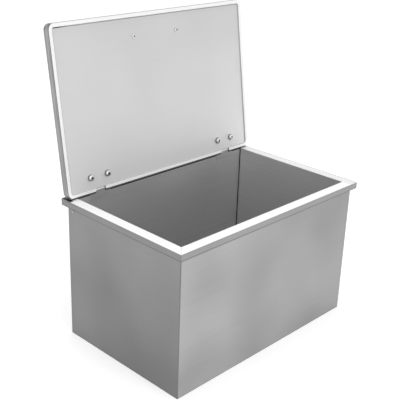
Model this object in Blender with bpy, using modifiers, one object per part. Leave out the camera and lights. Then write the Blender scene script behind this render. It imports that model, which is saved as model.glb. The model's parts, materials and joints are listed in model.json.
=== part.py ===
"""Drop-in ice bin: a double-walled stainless box with a folded rim, a floor drain and a hinged lid.

The origin is the middle of the base's underside. X runs along the long front, Y from the front
to the hinge side, and Z up. The lid stands open on its stop, which is how it is stored here.
"""

import math

import bmesh
import bpy
from mathutils import Matrix, Vector

# Driving dimensions of the whole bin
RIM_LENGTH = 0.530
RIM_DEPTH = 0.340
RIM_HEIGHT = 0.307
RIM_STRIP = 0.023
RIM_OVERHANG = 0.009
SKIRT_HEIGHT = 0.0145
SKIRT_RETURN = 0.005

# Sheet, folds and the clearances that every fit uses
TANK_SHEET = 0.0010
SHEET = 0.0008
FOLD_RADIUS = 0.0015
SEAT_GAP = 0.0003
CUT_OVERRUN = 0.004
ROUND_SEGMENTS = 32

# Casing and base pan
CASING_CORNER = 0.0022
BASE_FLANGE = 0.012
RIVET_FROM_BACK = 0.017
RIVET_BELOW_RIM = 0.024
RIVET_HEAD_RADIUS = 0.0028
RIVET_HEAD_HEIGHT = 0.0012
RIVET_SHANK_RADIUS = 0.0016
RIVET_SHANK_LENGTH = 0.0016

# Tank floor, which falls to a flat seat round the drain
FLOOR_HEIGHT = 0.027
FLOOR_FALL = 0.003
DRAIN_FROM_END = 0.092
DRAIN_SEAT_HALF = 0.040

# Drain fitting
TAIL_RADIUS = 0.018
TAIL_FOOT_HEIGHT = 0.0005
OUTLET_RADIUS = 0.0135
STRAINER_RADIUS = 0.0150
STRAINER_THICKNESS = 0.002
STRAINER_HOLE_RADIUS = 0.0022
STRAINER_HOLES = 6
STRAINER_RING_SHARE = 0.6
DRAIN_MOUTH_RADIUS = 0.0170
PLUG_SEAT_DEPTH = 0.009
DRAIN_FLANGE_RADIUS = 0.029
DRAIN_FLANGE_THICKNESS = 0.0018
GASKET_RADIUS = 0.027
GASKET_THICKNESS = 0.0012
LOCKNUT_RADIUS = 0.025
LOCKNUT_HEIGHT = 0.006
PLUG_LIP_RADIUS = 0.021
PLUG_LIP_THICKNESS = 0.002
PLUG_NECK_RADIUS = 0.0045
PLUG_NECK_HEIGHT = 0.0045
PLUG_KNOB_RADIUS = 0.009
PLUG_KNOB_RISE = 0.0085

# Lid
LID_THICKNESS = 0.018
LID_HEM = 0.008
HEM_LIP = 0.0021
LID_CORNER = 0.0125
LID_EDGE = 0.0015
LID_CLOSED_GAP = 0.0010
LID_OPEN_ANGLE = 98.3
LINER_MARGIN = 0.0010

# Lid handle
HANDLE_CENTRES = 0.120
HANDLE_FROM_EDGE = 0.0465
HANDLE_RADIUS = 0.005
HANDLE_RISE = 0.038
HANDLE_BEND = 0.013
HANDLE_SCREW_RADIUS = 0.0025
HANDLE_SCREW_HEAD_RADIUS = 0.0045
HANDLE_SCREW_HEAD_HEIGHT = 0.0022
HANDLE_SCREW_GRIP = 0.010

# Rolled three-knuckle hinges
HINGE_FROM_END = 0.080
HINGE_INSET = 0.0042
HINGE_STRIP = 0.0012
PIN_RADIUS = 0.0018
PIN_CLEARANCE = 0.0001
PIN_OVERRUN = 0.0008
MIDDLE_KNUCKLE_HALF = 0.012
KNUCKLE_GAP = 0.0003
LEAF_HALF = 0.0265
TANK_LEAF_DROP = 0.016
LEAF_BEYOND_SCREW = 0.006
NOTCH_CLEARANCE = 0.0006
HINGE_SCREW_OFFSET = 0.0215
HINGE_SCREW_FROM_BACK = 0.032
HINGE_SCREW_RADIUS = 0.003
HINGE_SCREW_HEAD_RADIUS = 0.006
HINGE_SCREW_HEAD_HEIGHT = 0.0046
HINGE_SCREW_END = 0.001
WASHER_RADIUS = 0.0068
WASHER_THICKNESS = 0.0012
NUT_RADIUS = 0.0057
NUT_HEIGHT = 0.005
POCKET_MARGIN = 0.004

# Places that follow from the sizes above
MOUTH_X = RIM_LENGTH / 2 - RIM_STRIP
MOUTH_Y = RIM_DEPTH / 2 - RIM_STRIP
CASING_X = RIM_LENGTH / 2 - RIM_OVERHANG
CASING_Y = RIM_DEPTH / 2 - RIM_OVERHANG
RIVET_Y = CASING_Y - RIVET_FROM_BACK
RIVET_Z = RIM_HEIGHT - RIVET_BELOW_RIM
SEAT_LEVEL = FLOOR_HEIGHT - FLOOR_FALL
DRAIN_X = MOUTH_X - DRAIN_FROM_END
CURL_RADIUS = PIN_RADIUS + PIN_CLEARANCE + HINGE_STRIP / 2
HINGE_X = RIM_LENGTH / 2 - HINGE_FROM_END
HINGE_Y = MOUTH_Y - SEAT_GAP - HINGE_STRIP / 2 + CURL_RADIUS
SIDES = {"left": -1, "right": 1}
LEVEL_TOLERANCE = SEAT_GAP / 10
MERGE_DISTANCE = SEAT_GAP / 30


def pivot_height():
    """Height of the hinge pin above the lid's mouth, so that the open lid lands on the rim.

    The rounded back edge of the lid is its stop: at the open angle it is a seat gap from the rim.
    """
    sine = math.sin(math.radians(LID_OPEN_ANGLE))
    cosine = math.cos(math.radians(LID_OPEN_ANGLE))
    reach = (HINGE_INSET - LID_EDGE) * sine - (LID_THICKNESS - LID_EDGE) * cosine + LID_EDGE
    return (reach + SEAT_GAP - LID_CLOSED_GAP) / (1 - cosine)


# The lid's own frame has its origin on the hinge axis, with the lid lying closed
PIVOT_HEIGHT = pivot_height()
HINGE_Z = RIM_HEIGHT + LID_CLOSED_GAP + PIVOT_HEIGHT
LID_MOUTH = -PIVOT_HEIGHT
LID_TOP = LID_THICKNESS - PIVOT_HEIGHT
LID_BACK = HINGE_INSET
LID_FRONT = HINGE_INSET - RIM_DEPTH
LINER_LOW = LID_MOUTH + HEM_LIP + SEAT_GAP
LINER_HIGH = LINER_LOW + SHEET
HANDLE_Y = LID_FRONT + HANDLE_FROM_EDGE
HINGE_SCREW_Y = LID_BACK - HINGE_SCREW_FROM_BACK
KNUCKLE_FRONT = -(CURL_RADIUS + HINGE_STRIP / 2 + NOTCH_CLEARANCE)


# Scene, materials and small tools

def clear_scene():
    """Start from an empty scene."""
    for thing in list(bpy.data.objects):
        bpy.data.objects.remove(thing, do_unlink=True)


def collection(name):
    """Make a collection in the scene."""
    made = bpy.data.collections.new(name)
    bpy.context.scene.collection.children.link(made)
    return made


def material(name, colour, roughness, metallic):
    """Make a Principled material."""
    made = bpy.data.materials.new(name)
    made.use_nodes = True
    shader = made.node_tree.nodes["Principled BSDF"]
    shader.inputs["Base Color"].default_value = (*colour, 1)
    shader.inputs["Roughness"].default_value = roughness
    shader.inputs["Metallic"].default_value = metallic
    return made


def place(name, mesh, group, finish=None, parent=None, location=(0, 0, 0)):
    """Put a mesh in the scene as an object of its own."""
    made = bpy.data.objects.new(name, mesh)
    group.objects.link(made)
    made.location = location
    made.parent = parent
    if finish is not None:
        mesh.materials.clear()
        mesh.materials.append(finish)
    mesh.shade_smooth()
    mesh.set_sharp_from_angle(angle=math.radians(30))
    return made


def mesh_from(bm, name):
    """Turn a bmesh into a mesh."""
    mesh = bpy.data.meshes.new(name)
    bm.to_mesh(mesh)
    bm.free()
    return mesh


def box(bm, low, high):
    """Add a box between two opposite corners."""
    size = Vector(high) - Vector(low)
    centre = (Vector(high) + Vector(low)) / 2
    matrix = Matrix.Translation(centre) @ Matrix.Diagonal((*size, 1))
    bmesh.ops.create_cube(bm, size=1, matrix=matrix)


def cylinder(bm, radius, low, high, segments=ROUND_SEGMENTS):
    """Add an upright cylinder between the centres of its two ends."""
    low = Vector(low)
    high = Vector(high)
    bmesh.ops.create_cone(
        bm, cap_ends=True, segments=segments, radius1=radius, radius2=radius,
        depth=high.z - low.z, matrix=Matrix.Translation((low + high) / 2))


def upright_edges(bm):
    """Edges that run straight up."""
    return [edge for edge in bm.edges
            if abs((edge.verts[0].co - edge.verts[1].co).normalized().z) > 0.99]


def level_edges(bm, height):
    """Edges whose two ends lie at one height."""
    return [edge for edge in bm.edges
            if all(abs(vert.co.z - height) < LEVEL_TOLERANCE for vert in edge.verts)]


def round_edges(bm, edges, radius, segments):
    """Round some edges of a bmesh."""
    bmesh.ops.bevel(bm, geom=edges, offset=radius, segments=segments, profile=0.5,
                    affect="EDGES", clamp_overlap=True)


def face_at(bm, height):
    """The level face at one height."""
    return next(face for face in bm.faces
                if all(abs(vert.co.z - height) < LEVEL_TOLERANCE for vert in face.verts))


def add_solidify(thing, thickness, offset=-1):
    """Give an open sheet its thickness, on the side that its normals point away from."""
    shell = thing.modifiers.new("sheet", "SOLIDIFY")
    shell.thickness = thickness
    shell.offset = offset
    shell.use_even_offset = True
    shell.use_quality_normals = True


def add_folds(thing):
    """Round every sharp fold of an open sheet."""
    folds = thing.modifiers.new("folds", "BEVEL")
    folds.width = FOLD_RADIUS
    folds.segments = 2
    folds.limit_method = "ANGLE"
    folds.angle_limit = math.radians(30)


def cut(thing, bm, name, parent=None):
    """Cut the closed bodies of a bmesh out of an object."""
    tool = place(name, mesh_from(bm, name), CUTTERS, parent=parent)
    tool.hide_render = True
    tool.display_type = "WIRE"
    step = thing.modifiers.new(name, "BOOLEAN")
    step.operation = "DIFFERENCE"
    step.solver = "EXACT"
    step.object = tool


def turned(name, profile, closed, segments=ROUND_SEGMENTS):
    """Turn a profile of (radius, height) points about Z, and return the solid as a mesh.

    The profile runs down the outer side first. A closed one goes round a ring's section,
    an open one starts and ends on the axis.
    """
    bm = bmesh.new()
    verts = [bm.verts.new((radius, 0, height)) for radius, height in profile]
    for first, second in zip(verts, verts[1:]):
        bm.edges.new((first, second))
    if closed:
        bm.edges.new((verts[-1], verts[0]))
    pattern = place(name, mesh_from(bm, name), CUTTERS)
    turn = pattern.modifiers.new("turn", "SCREW")
    turn.axis = "Z"
    turn.steps = segments
    turn.render_steps = segments
    turn.use_merge_vertices = True
    turn.merge_threshold = MERGE_DISTANCE
    return outward_mesh(pattern, name)


def outward_mesh(pattern, name):
    """Turn a construction object into a plain welded mesh whose faces all point outwards."""
    graph = bpy.context.evaluated_depsgraph_get()
    bm = bmesh.new()
    bm.from_mesh(bpy.data.meshes.new_from_object(pattern.evaluated_get(graph)))
    bmesh.ops.remove_doubles(bm, verts=bm.verts, dist=MERGE_DISTANCE)
    bmesh.ops.recalc_face_normals(bm, faces=bm.faces)
    bpy.data.objects.remove(pattern, do_unlink=True)
    return mesh_from(bm, name)


def repeated(name, mesh, finish, spots, parent=None):
    """Place one mesh at several named spots, as an object of its own at each."""
    return [place(f"{name}_{suffix}", mesh, PARTS, finish, parent, location=spot)
            for suffix, spot in spots.items()]


def dome(radius, height, base):
    """Profile points of a low dome, from its top on the axis down to its rim."""
    steps = 4
    turns = [step / steps * math.pi / 2 for step in range(steps + 1)]
    return [(radius * math.sin(turn), base + height * math.cos(turn)) for turn in turns]


# Tank and rim, folded from one sheet

def inner_tank():
    """The wet tank with its rim: walls, sloping floor, flat strip, skirt and inward return."""
    bm = bmesh.new()
    box(bm, (-MOUTH_X, -MOUTH_Y, FLOOR_HEIGHT), (MOUTH_X, MOUTH_Y, RIM_HEIGHT))
    bmesh.ops.delete(bm, geom=[face_at(bm, RIM_HEIGHT)], context="FACES_ONLY")
    slope_floor(bm)
    edges = [edge for edge in bm.edges if edge.is_boundary]
    for outward, upward in ((RIM_STRIP, 0), (0, -SKIRT_HEIGHT), (-SKIRT_RETURN, 0)):
        edges = fold_out(bm, edges, outward, upward)
    bmesh.ops.recalc_face_normals(bm, faces=bm.faces)
    if face_at(bm, SEAT_LEVEL).normal.z < 0:
        bmesh.ops.reverse_faces(bm, faces=bm.faces)
    tank = place("inner_tank", mesh_from(bm, "inner_tank"), PARTS, BRUSHED)
    add_folds(tank)
    add_solidify(tank, TANK_SHEET)
    hole = bmesh.new()
    cylinder(hole, TAIL_RADIUS + SEAT_GAP,
             (DRAIN_X, 0, SEAT_LEVEL - CUT_OVERRUN), (DRAIN_X, 0, SEAT_LEVEL + CUT_OVERRUN))
    cut(tank, hole, "drain_hole_cutter")


def slope_floor(bm):
    """Give the floor four facets that fall to a flat square round the drain."""
    floor = face_at(bm, FLOOR_HEIGHT)
    bmesh.ops.inset_individual(bm, faces=[floor], thickness=DRAIN_SEAT_HALF)
    for vert in floor.verts:
        side_x = math.copysign(DRAIN_SEAT_HALF, vert.co.x)
        side_y = math.copysign(DRAIN_SEAT_HALF, vert.co.y)
        vert.co = (DRAIN_X + side_x, side_y, SEAT_LEVEL)


def fold_out(bm, edges, outward, upward):
    """Fold one more strip from a boundary, and return the new boundary."""
    made = bmesh.ops.extrude_edge_only(bm, edges=edges)["geom"]
    for vert in (item for item in made if isinstance(item, bmesh.types.BMVert)):
        vert.co.x += outward * math.copysign(1, vert.co.x)
        vert.co.y += outward * math.copysign(1, vert.co.y)
        vert.co.z += upward
    return [item for item in made if isinstance(item, bmesh.types.BMEdge) and item.is_boundary]


# Casing, base pan and the insulation between them and the tank

def outer_casing():
    """The casing: a sheet wrapped round four sides, open above and below."""
    top = RIM_HEIGHT - TANK_SHEET - SEAT_GAP
    bm = bmesh.new()
    box(bm, (-CASING_X, -CASING_Y, 0), (CASING_X, CASING_Y, top))
    bmesh.ops.delete(bm, geom=[face_at(bm, 0), face_at(bm, top)], context="FACES_ONLY")
    round_edges(bm, upright_edges(bm), CASING_CORNER, 4)
    casing = place("outer_casing", mesh_from(bm, "outer_casing"), PARTS, BRUSHED)
    add_solidify(casing, SHEET)
    holes = bmesh.new()
    reach = RIM_LENGTH / 2
    turn = Matrix.Rotation(math.radians(90), 4, "Y")
    bmesh.ops.create_cone(
        holes, cap_ends=True, segments=ROUND_SEGMENTS, radius1=RIVET_SHANK_RADIUS + SEAT_GAP,
        radius2=RIVET_SHANK_RADIUS + SEAT_GAP, depth=reach * 2,
        matrix=Matrix.Translation((0, RIVET_Y, RIVET_Z)) @ turn)
    cut(casing, holes, "rivet_hole_cutter")


def casing_rivets():
    """A blind rivet through each end of the casing, high up near the back."""
    profile = dome(RIVET_HEAD_RADIUS, RIVET_HEAD_HEIGHT, SEAT_GAP)
    profile += [(RIVET_SHANK_RADIUS, SEAT_GAP),
                (RIVET_SHANK_RADIUS, -RIVET_SHANK_LENGTH), (0, -RIVET_SHANK_LENGTH)]
    rivet = turned("casing_rivet", profile, closed=False, segments=16)
    spots = {side: (CASING_X * sign, RIVET_Y, RIVET_Z) for side, sign in SIDES.items()}
    for made in repeated("casing_rivet", rivet, RIVET_METAL, spots):
        made.rotation_euler.y = math.radians(90) * math.copysign(1, made.location.x)


def base_pan():
    """A shallow tray that closes the casing below, with a hole for the drain's tail."""
    edge_x = CASING_X - SHEET - SEAT_GAP
    edge_y = CASING_Y - SHEET - SEAT_GAP
    bm = bmesh.new()
    box(bm, (-edge_x, -edge_y, 0), (edge_x, edge_y, BASE_FLANGE))
    bmesh.ops.delete(bm, geom=[face_at(bm, BASE_FLANGE)], context="FACES_ONLY")
    round_edges(bm, upright_edges(bm), CASING_CORNER, 3)
    pan = place("base_pan", mesh_from(bm, "base_pan"), PARTS, BRUSHED)
    add_solidify(pan, SHEET)
    hole = bmesh.new()
    cylinder(hole, TAIL_RADIUS + SEAT_GAP,
             (DRAIN_X, 0, -CUT_OVERRUN), (DRAIN_X, 0, CUT_OVERRUN))
    cut(pan, hole, "base_hole_cutter")


def insulation():
    """Foam sheets: one in front of and one behind the tank, one at each end, one below."""
    low = SHEET + SEAT_GAP
    high = RIM_HEIGHT - TANK_SHEET - SEAT_GAP
    inner_x = MOUTH_X + TANK_SHEET + SEAT_GAP
    inner_y = MOUTH_Y + TANK_SHEET + SEAT_GAP
    margin = 2 * (SHEET + SEAT_GAP)
    outer_x = CASING_X - margin
    outer_y = CASING_Y - margin
    side_gap = inner_y - SEAT_GAP
    long_x = outer_x - CASING_CORNER
    sheets = {
        "insulation_front": ((-long_x, -outer_y, low), (long_x, -inner_y, high)),
        "insulation_back": ((-long_x, inner_y, low), (long_x, outer_y, high)),
        "insulation_left": ((-outer_x, -side_gap, low), (-inner_x, side_gap, high)),
        "insulation_right": ((inner_x, -side_gap, low), (outer_x, side_gap, high)),
    }
    for name, (corner_low, corner_high) in sheets.items():
        bm = bmesh.new()
        box(bm, corner_low, corner_high)
        place(name, mesh_from(bm, name), PARTS, FOAM)
    floor_top = SEAT_LEVEL - TANK_SHEET - SEAT_GAP
    floor_x = inner_x - SEAT_GAP
    bm = bmesh.new()
    box(bm, (-floor_x, -side_gap, low), (floor_x, side_gap, floor_top))
    floor = place("insulation_floor", mesh_from(bm, "insulation_floor"), PARTS, FOAM)
    well = bmesh.new()
    cylinder(well, GASKET_RADIUS + SEAT_GAP, (DRAIN_X, 0, -CUT_OVERRUN), (DRAIN_X, 0, FLOOR_HEIGHT))
    cut(floor, well, "drain_well_cutter")


# Drain fitting, clamped to the tank's floor by a locknut

FLANGE_LOW = SEAT_LEVEL + GASKET_THICKNESS + 2 * SEAT_GAP
FLANGE_TOP = FLANGE_LOW + DRAIN_FLANGE_THICKNESS
PLUG_SEAT_LOW = FLANGE_TOP - PLUG_SEAT_DEPTH
STRAINER_LOW = PLUG_SEAT_LOW - STRAINER_THICKNESS - SEAT_GAP


def drain_body():
    """Flanged drain with a tapered plug seat, a ledge for the strainer and an open tail."""
    bore = STRAINER_RADIUS + SEAT_GAP
    chamfer = DRAIN_FLANGE_THICKNESS / 2
    profile = [
        (DRAIN_MOUTH_RADIUS, FLANGE_TOP),
        (DRAIN_FLANGE_RADIUS - chamfer, FLANGE_TOP),
        (DRAIN_FLANGE_RADIUS, FLANGE_TOP - chamfer),
        (DRAIN_FLANGE_RADIUS, FLANGE_LOW),
        (TAIL_RADIUS, FLANGE_LOW),
        (TAIL_RADIUS, TAIL_FOOT_HEIGHT),
        (OUTLET_RADIUS, TAIL_FOOT_HEIGHT),
        (OUTLET_RADIUS, STRAINER_LOW - SEAT_GAP),
        (bore, STRAINER_LOW - SEAT_GAP),
        (bore, PLUG_SEAT_LOW),
    ]
    mesh = turned("drain_body", profile, closed=True)
    place("drain_body", mesh, PARTS, BRUSHED, location=(DRAIN_X, 0, 0))


def drain_strainer():
    """Round plate with a ring of holes, on the ledge under the plug."""
    bm = bmesh.new()
    cylinder(bm, STRAINER_RADIUS, (0, 0, STRAINER_LOW), (0, 0, STRAINER_LOW + STRAINER_THICKNESS))
    strainer = place("drain_strainer", mesh_from(bm, "drain_strainer"), PARTS, BRUSHED,
                     location=(DRAIN_X, 0, 0))
    holes = bmesh.new()
    ring = STRAINER_RADIUS * STRAINER_RING_SHARE
    for index in range(STRAINER_HOLES):
        turn = math.tau * index / STRAINER_HOLES
        centre = Vector((DRAIN_X + ring * math.cos(turn), ring * math.sin(turn), STRAINER_LOW))
        rise = Vector((0, 0, STRAINER_THICKNESS * 2))
        cylinder(holes, STRAINER_HOLE_RADIUS, centre - rise, centre + rise, segments=12)
    cut(strainer, holes, "strainer_hole_cutter")


def flat_ring(name, outer, inner, low, high, finish):
    """A flat ring on the drain's axis."""
    profile = [(outer, high), (outer, low), (inner, low), (inner, high)]
    mesh = turned(name, profile, closed=True)
    place(name, mesh, PARTS, finish, location=(DRAIN_X, 0, 0))


def drain_seals():
    """A gasket under the flange, a washer under the floor and the locknut that squeezes them."""
    inner = TAIL_RADIUS + SEAT_GAP
    gasket_low = SEAT_LEVEL + SEAT_GAP
    flat_ring("drain_gasket", GASKET_RADIUS, inner, gasket_low, gasket_low + GASKET_THICKNESS,
              RUBBER)
    washer_high = SEAT_LEVEL - TANK_SHEET - SEAT_GAP
    washer_low = washer_high - GASKET_THICKNESS
    flat_ring("drain_washer", GASKET_RADIUS - SEAT_GAP, inner, washer_low, washer_high, RUBBER)
    nut_high = washer_low - SEAT_GAP
    bm = bmesh.new()
    cylinder(bm, LOCKNUT_RADIUS, (0, 0, nut_high - LOCKNUT_HEIGHT), (0, 0, nut_high), segments=6)
    nut = place("drain_locknut", mesh_from(bm, "drain_locknut"), PARTS, BRUSHED,
                location=(DRAIN_X, 0, 0))
    hole = bmesh.new()
    cylinder(hole, inner, (DRAIN_X, 0, -CUT_OVERRUN), (DRAIN_X, 0, FLOOR_HEIGHT))
    cut(nut, hole, "locknut_hole_cutter")


def drain_plug():
    """Tapered rubber stopper with a lip on the flange and a knob to pull it by."""
    lip_low = FLANGE_TOP + SEAT_GAP
    lip_high = lip_low + PLUG_LIP_THICKNESS
    knob_low = lip_high + PLUG_NECK_HEIGHT
    plug_low = PLUG_SEAT_LOW + SEAT_GAP
    profile = dome(PLUG_KNOB_RADIUS, PLUG_KNOB_RISE, knob_low)
    profile += [
        (PLUG_NECK_RADIUS, knob_low - SEAT_GAP),
        (PLUG_NECK_RADIUS, lip_high),
        (PLUG_LIP_RADIUS - PLUG_LIP_THICKNESS / 2, lip_high),
        (PLUG_LIP_RADIUS, lip_low),
        (DRAIN_MOUTH_RADIUS - 2 * SEAT_GAP, lip_low),
        (STRAINER_RADIUS - SEAT_GAP, plug_low),
        (0, plug_low),
    ]
    mesh = turned("drain_plug", profile, closed=False)
    place("drain_plug", mesh, PARTS, RUBBER, location=(DRAIN_X, 0, 0))


# Lid, built closed in its own frame and turned open about the hinge axis

def lid_axis():
    """The empty that carries the whole lid, on the hinge axis."""
    axis = bpy.data.objects.new("lid_axis", None)
    PARTS.objects.link(axis)
    axis.location = (0, HINGE_Y, HINGE_Z)
    axis.rotation_euler.x = -math.radians(LID_OPEN_ANGLE)
    return axis


def notch_boxes(knuckle_half):
    """Two notches in the lid's back edge, up to the pin, clear of knuckles of one half width."""
    half = knuckle_half + NOTCH_CLEARANCE
    bm = bmesh.new()
    for sign in SIDES.values():
        centre = HINGE_X * sign
        box(bm, (centre - half, KNUCKLE_FRONT, LID_MOUTH - CUT_OVERRUN),
            (centre + half, LID_BACK + CUT_OVERRUN, 0))
    return bm


def handle_holes(radius):
    """Cylinders through the lid at the handle's two screws."""
    bm = bmesh.new()
    for side in (-1, 1):
        foot = (HANDLE_CENTRES / 2 * side, HANDLE_Y, LID_MOUTH - CUT_OVERRUN)
        head = (HANDLE_CENTRES / 2 * side, HANDLE_Y, LID_TOP + CUT_OVERRUN)
        cylinder(bm, radius, foot, head, segments=16)
    return bm


def hinge_screw_places():
    """Where the four hinge screws stand in the lid's frame, an outer and an inner to a leaf."""
    return {f"{side}_{post}": Vector((HINGE_X * sign + HINGE_SCREW_OFFSET * sign * away,
                                      HINGE_SCREW_Y, 0))
            for side, sign in SIDES.items() for post, away in (("outer", 1), ("inner", -1))}


def hinge_screw_holes():
    """Cylinders through the liner and the leaves at the hinge screws."""
    bm = bmesh.new()
    rise = Vector((0, 0, LID_THICKNESS))
    for spot in hinge_screw_places().values():
        cylinder(bm, HINGE_SCREW_RADIUS + SEAT_GAP, spot - rise, spot + rise, segments=16)
    return bm


def lid_slab(margin, low, high):
    """A flat slab with the lid's rounded corners, in from the lid's edge by a margin."""
    half = RIM_LENGTH / 2 - margin
    bm = bmesh.new()
    box(bm, (-half, LID_FRONT + margin, low), (half, LID_BACK - margin, high))
    round_edges(bm, upright_edges(bm), LID_CORNER - margin, 6)
    return bm


def lid_skin(axis):
    """The lid's outer pan: flat top, shallow walls, a hem folded in and a lip turned to the liner."""
    bm = lid_slab(0, LID_MOUTH, LID_TOP)
    mouth = face_at(bm, LID_MOUTH)
    bmesh.ops.inset_region(bm, faces=[mouth], thickness=LID_HEM, use_even_offset=True)
    bmesh.ops.delete(bm, geom=[mouth], context="FACES_ONLY")
    edges = [edge for edge in bm.edges if edge.is_boundary]
    lip = bmesh.ops.extrude_edge_only(bm, edges=edges)["geom"]
    turned_in = [item for item in lip if isinstance(item, bmesh.types.BMVert)]
    bmesh.ops.translate(bm, verts=turned_in, vec=(0, 0, HEM_LIP))
    outline = [edge for edge in level_edges(bm, LID_TOP) + level_edges(bm, LID_MOUTH)
               if not edge.is_boundary and edge.calc_face_angle(0) > 1]
    round_edges(bm, outline, LID_EDGE, 2)
    skin = place("lid_skin", mesh_from(bm, "lid_skin"), PARTS, BRUSHED, axis)
    add_solidify(skin, SHEET)
    cut(skin, notch_boxes(MIDDLE_KNUCKLE_HALF), "skin_notch_cutter", axis)
    cut(skin, handle_holes(HANDLE_SCREW_RADIUS + SEAT_GAP), "skin_hole_cutter", axis)


def lid_liner(axis):
    """The flat inner panel, lying inside the pan against the hem's lip."""
    bm = lid_slab(SHEET + LINER_MARGIN, LINER_LOW, LINER_HIGH)
    liner = place("lid_liner", mesh_from(bm, "lid_liner"), PARTS, BRUSHED, axis)
    cut(liner, notch_boxes(LEAF_HALF), "liner_notch_cutter", axis)
    cut(liner, handle_holes(HANDLE_SCREW_RADIUS + SEAT_GAP), "liner_hole_cutter", axis)
    cut(liner, hinge_screw_holes(), "liner_screw_cutter", axis)


def lid_foam(axis):
    """The foam core, cut away round each hinge and bored for the handle's screws."""
    low = LINER_HIGH + SEAT_GAP
    high = LID_TOP - SHEET - SEAT_GAP
    core = place("lid_foam", mesh_from(lid_slab(SHEET + LINER_MARGIN, low, high), "lid_foam"),
                 PARTS, FOAM, axis)
    pockets = bmesh.new()
    half = LEAF_HALF + POCKET_MARGIN
    front = HINGE_SCREW_Y - LEAF_BEYOND_SCREW - POCKET_MARGIN
    for sign in SIDES.values():
        centre = HINGE_X * sign
        box(pockets, (centre - half, front, LID_MOUTH - CUT_OVERRUN),
            (centre + half, LID_BACK + CUT_OVERRUN, LID_TOP + CUT_OVERRUN))
    cut(core, pockets, "foam_pocket_cutter", axis)
    cut(core, handle_holes(HANDLE_SCREW_RADIUS + SEAT_GAP), "foam_hole_cutter", axis)


def arc(centre_x, centre_y, radius, start, end, steps):
    """Points along a circular arc between two angles in degrees."""
    points = []
    for step in range(steps + 1):
        turn = math.radians(start + (end - start) * step / steps)
        points.append((centre_x + radius * math.cos(turn), centre_y + radius * math.sin(turn)))
    return points


def lid_handle(axis):
    """A round bar bent into a low bow, standing on the lid's skin and tapped at both feet."""
    half = HANDLE_CENTRES / 2
    foot = LID_TOP + SEAT_GAP
    crown = LID_TOP + HANDLE_RISE - HANDLE_RADIUS
    shoulder = half - HANDLE_BEND
    route = [(-half, foot)]
    route += arc(-shoulder, crown - HANDLE_BEND, HANDLE_BEND, 180, 90, 6)
    route += arc(shoulder, crown - HANDLE_BEND, HANDLE_BEND, 90, 0, 6)
    route += [(half, foot)]
    curve = bpy.data.curves.new("lid_handle_route", "CURVE")
    curve.dimensions = "3D"
    curve.bevel_depth = HANDLE_RADIUS
    curve.bevel_resolution = 4
    curve.use_fill_caps = True
    spline = curve.splines.new("POLY")
    spline.points.add(len(route) - 1)
    for point, (across, up) in zip(spline.points, route):
        point.co = (across, HANDLE_Y, up, 1)
    rod = bpy.data.objects.new("lid_handle_rod", curve)
    CUTTERS.objects.link(rod)
    handle = place("lid_handle", outward_mesh(rod, "lid_handle"), PARTS, POLISHED, axis)
    taps = bmesh.new()
    for side in (-1, 1):
        cylinder(taps, HANDLE_SCREW_RADIUS + SEAT_GAP, (half * side, HANDLE_Y, LID_TOP - CUT_OVERRUN),
                 (half * side, HANDLE_Y, LID_TOP + HANDLE_SCREW_GRIP + SEAT_GAP), segments=16)
    cut(handle, taps, "handle_tap_cutter", axis)


def handle_screws(axis):
    """A pan-head screw at each foot, from the liner through the lid and into the handle."""
    head = LINER_LOW - SEAT_GAP
    end = LID_TOP + HANDLE_SCREW_GRIP
    profile = [(0, end), (HANDLE_SCREW_RADIUS, end), (HANDLE_SCREW_RADIUS, head)]
    profile += pan_head(HANDLE_SCREW_HEAD_RADIUS, HANDLE_SCREW_HEAD_HEIGHT, head)
    screw = turned("handle_screw", profile, closed=False, segments=16)
    spots = {side: (HANDLE_CENTRES / 2 * sign, HANDLE_Y, 0) for side, sign in SIDES.items()}
    repeated("handle_screw", screw, POLISHED, spots, axis)


def pan_head(radius, height, seat):
    """Profile points of a screw head that hangs below its seat, down to the axis."""
    crown = dome(radius, height / 2, 0)
    crown.reverse()
    side = seat - height / 2
    return [(radius, seat)] + [(across, side - rise) for across, rise in crown]


# Hinges: a leaf welded inside the tank, a leaf inside the lid, and the pin through both

def strip_sheet(path, name, parent, location):
    """Extrude a side view into a strip as wide as the hinge, with a strip's thickness."""
    bm = bmesh.new()
    verts = [bm.verts.new((-LEAF_HALF, along, up)) for along, up in path]
    edges = [bm.edges.new(pair) for pair in zip(verts, verts[1:])]
    made = bmesh.ops.extrude_edge_only(bm, edges=edges)["geom"]
    moved = [item for item in made if isinstance(item, bmesh.types.BMVert)]
    bmesh.ops.translate(bm, verts=moved, vec=(LEAF_HALF * 2, 0, 0))
    strip = place(name, mesh_from(bm, name), PARTS, POLISHED, parent, location)
    add_solidify(strip, HINGE_STRIP, offset=0)
    return strip


def tank_leaves():
    """The fixed leaves: a plate on the tank's back wall, with the middle knuckle above the rim."""
    path = [(-CURL_RADIUS, RIM_HEIGHT - TANK_LEAF_DROP - HINGE_Z)]
    path += arc(0, 0, CURL_RADIUS, 180, -90, 15)
    reach = LEAF_HALF + CUT_OVERRUN
    shoulder = RIM_HEIGHT - SEAT_GAP
    for side, sign in SIDES.items():
        centre = HINGE_X * sign
        name = f"hinge_tank_leaf_{side}"
        leaf = strip_sheet(path, name, None, (centre, HINGE_Y, HINGE_Z))
        gaps = bmesh.new()
        for first, second in ((-reach, -MIDDLE_KNUCKLE_HALF), (MIDDLE_KNUCKLE_HALF, reach)):
            box(gaps, (centre + first, MOUTH_Y - CUT_OVERRUN, shoulder),
                (centre + second, MOUTH_Y + RIM_STRIP, HINGE_Z + LID_THICKNESS))
        cut(leaf, gaps, f"shoulder_cutter_{side}")


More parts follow.
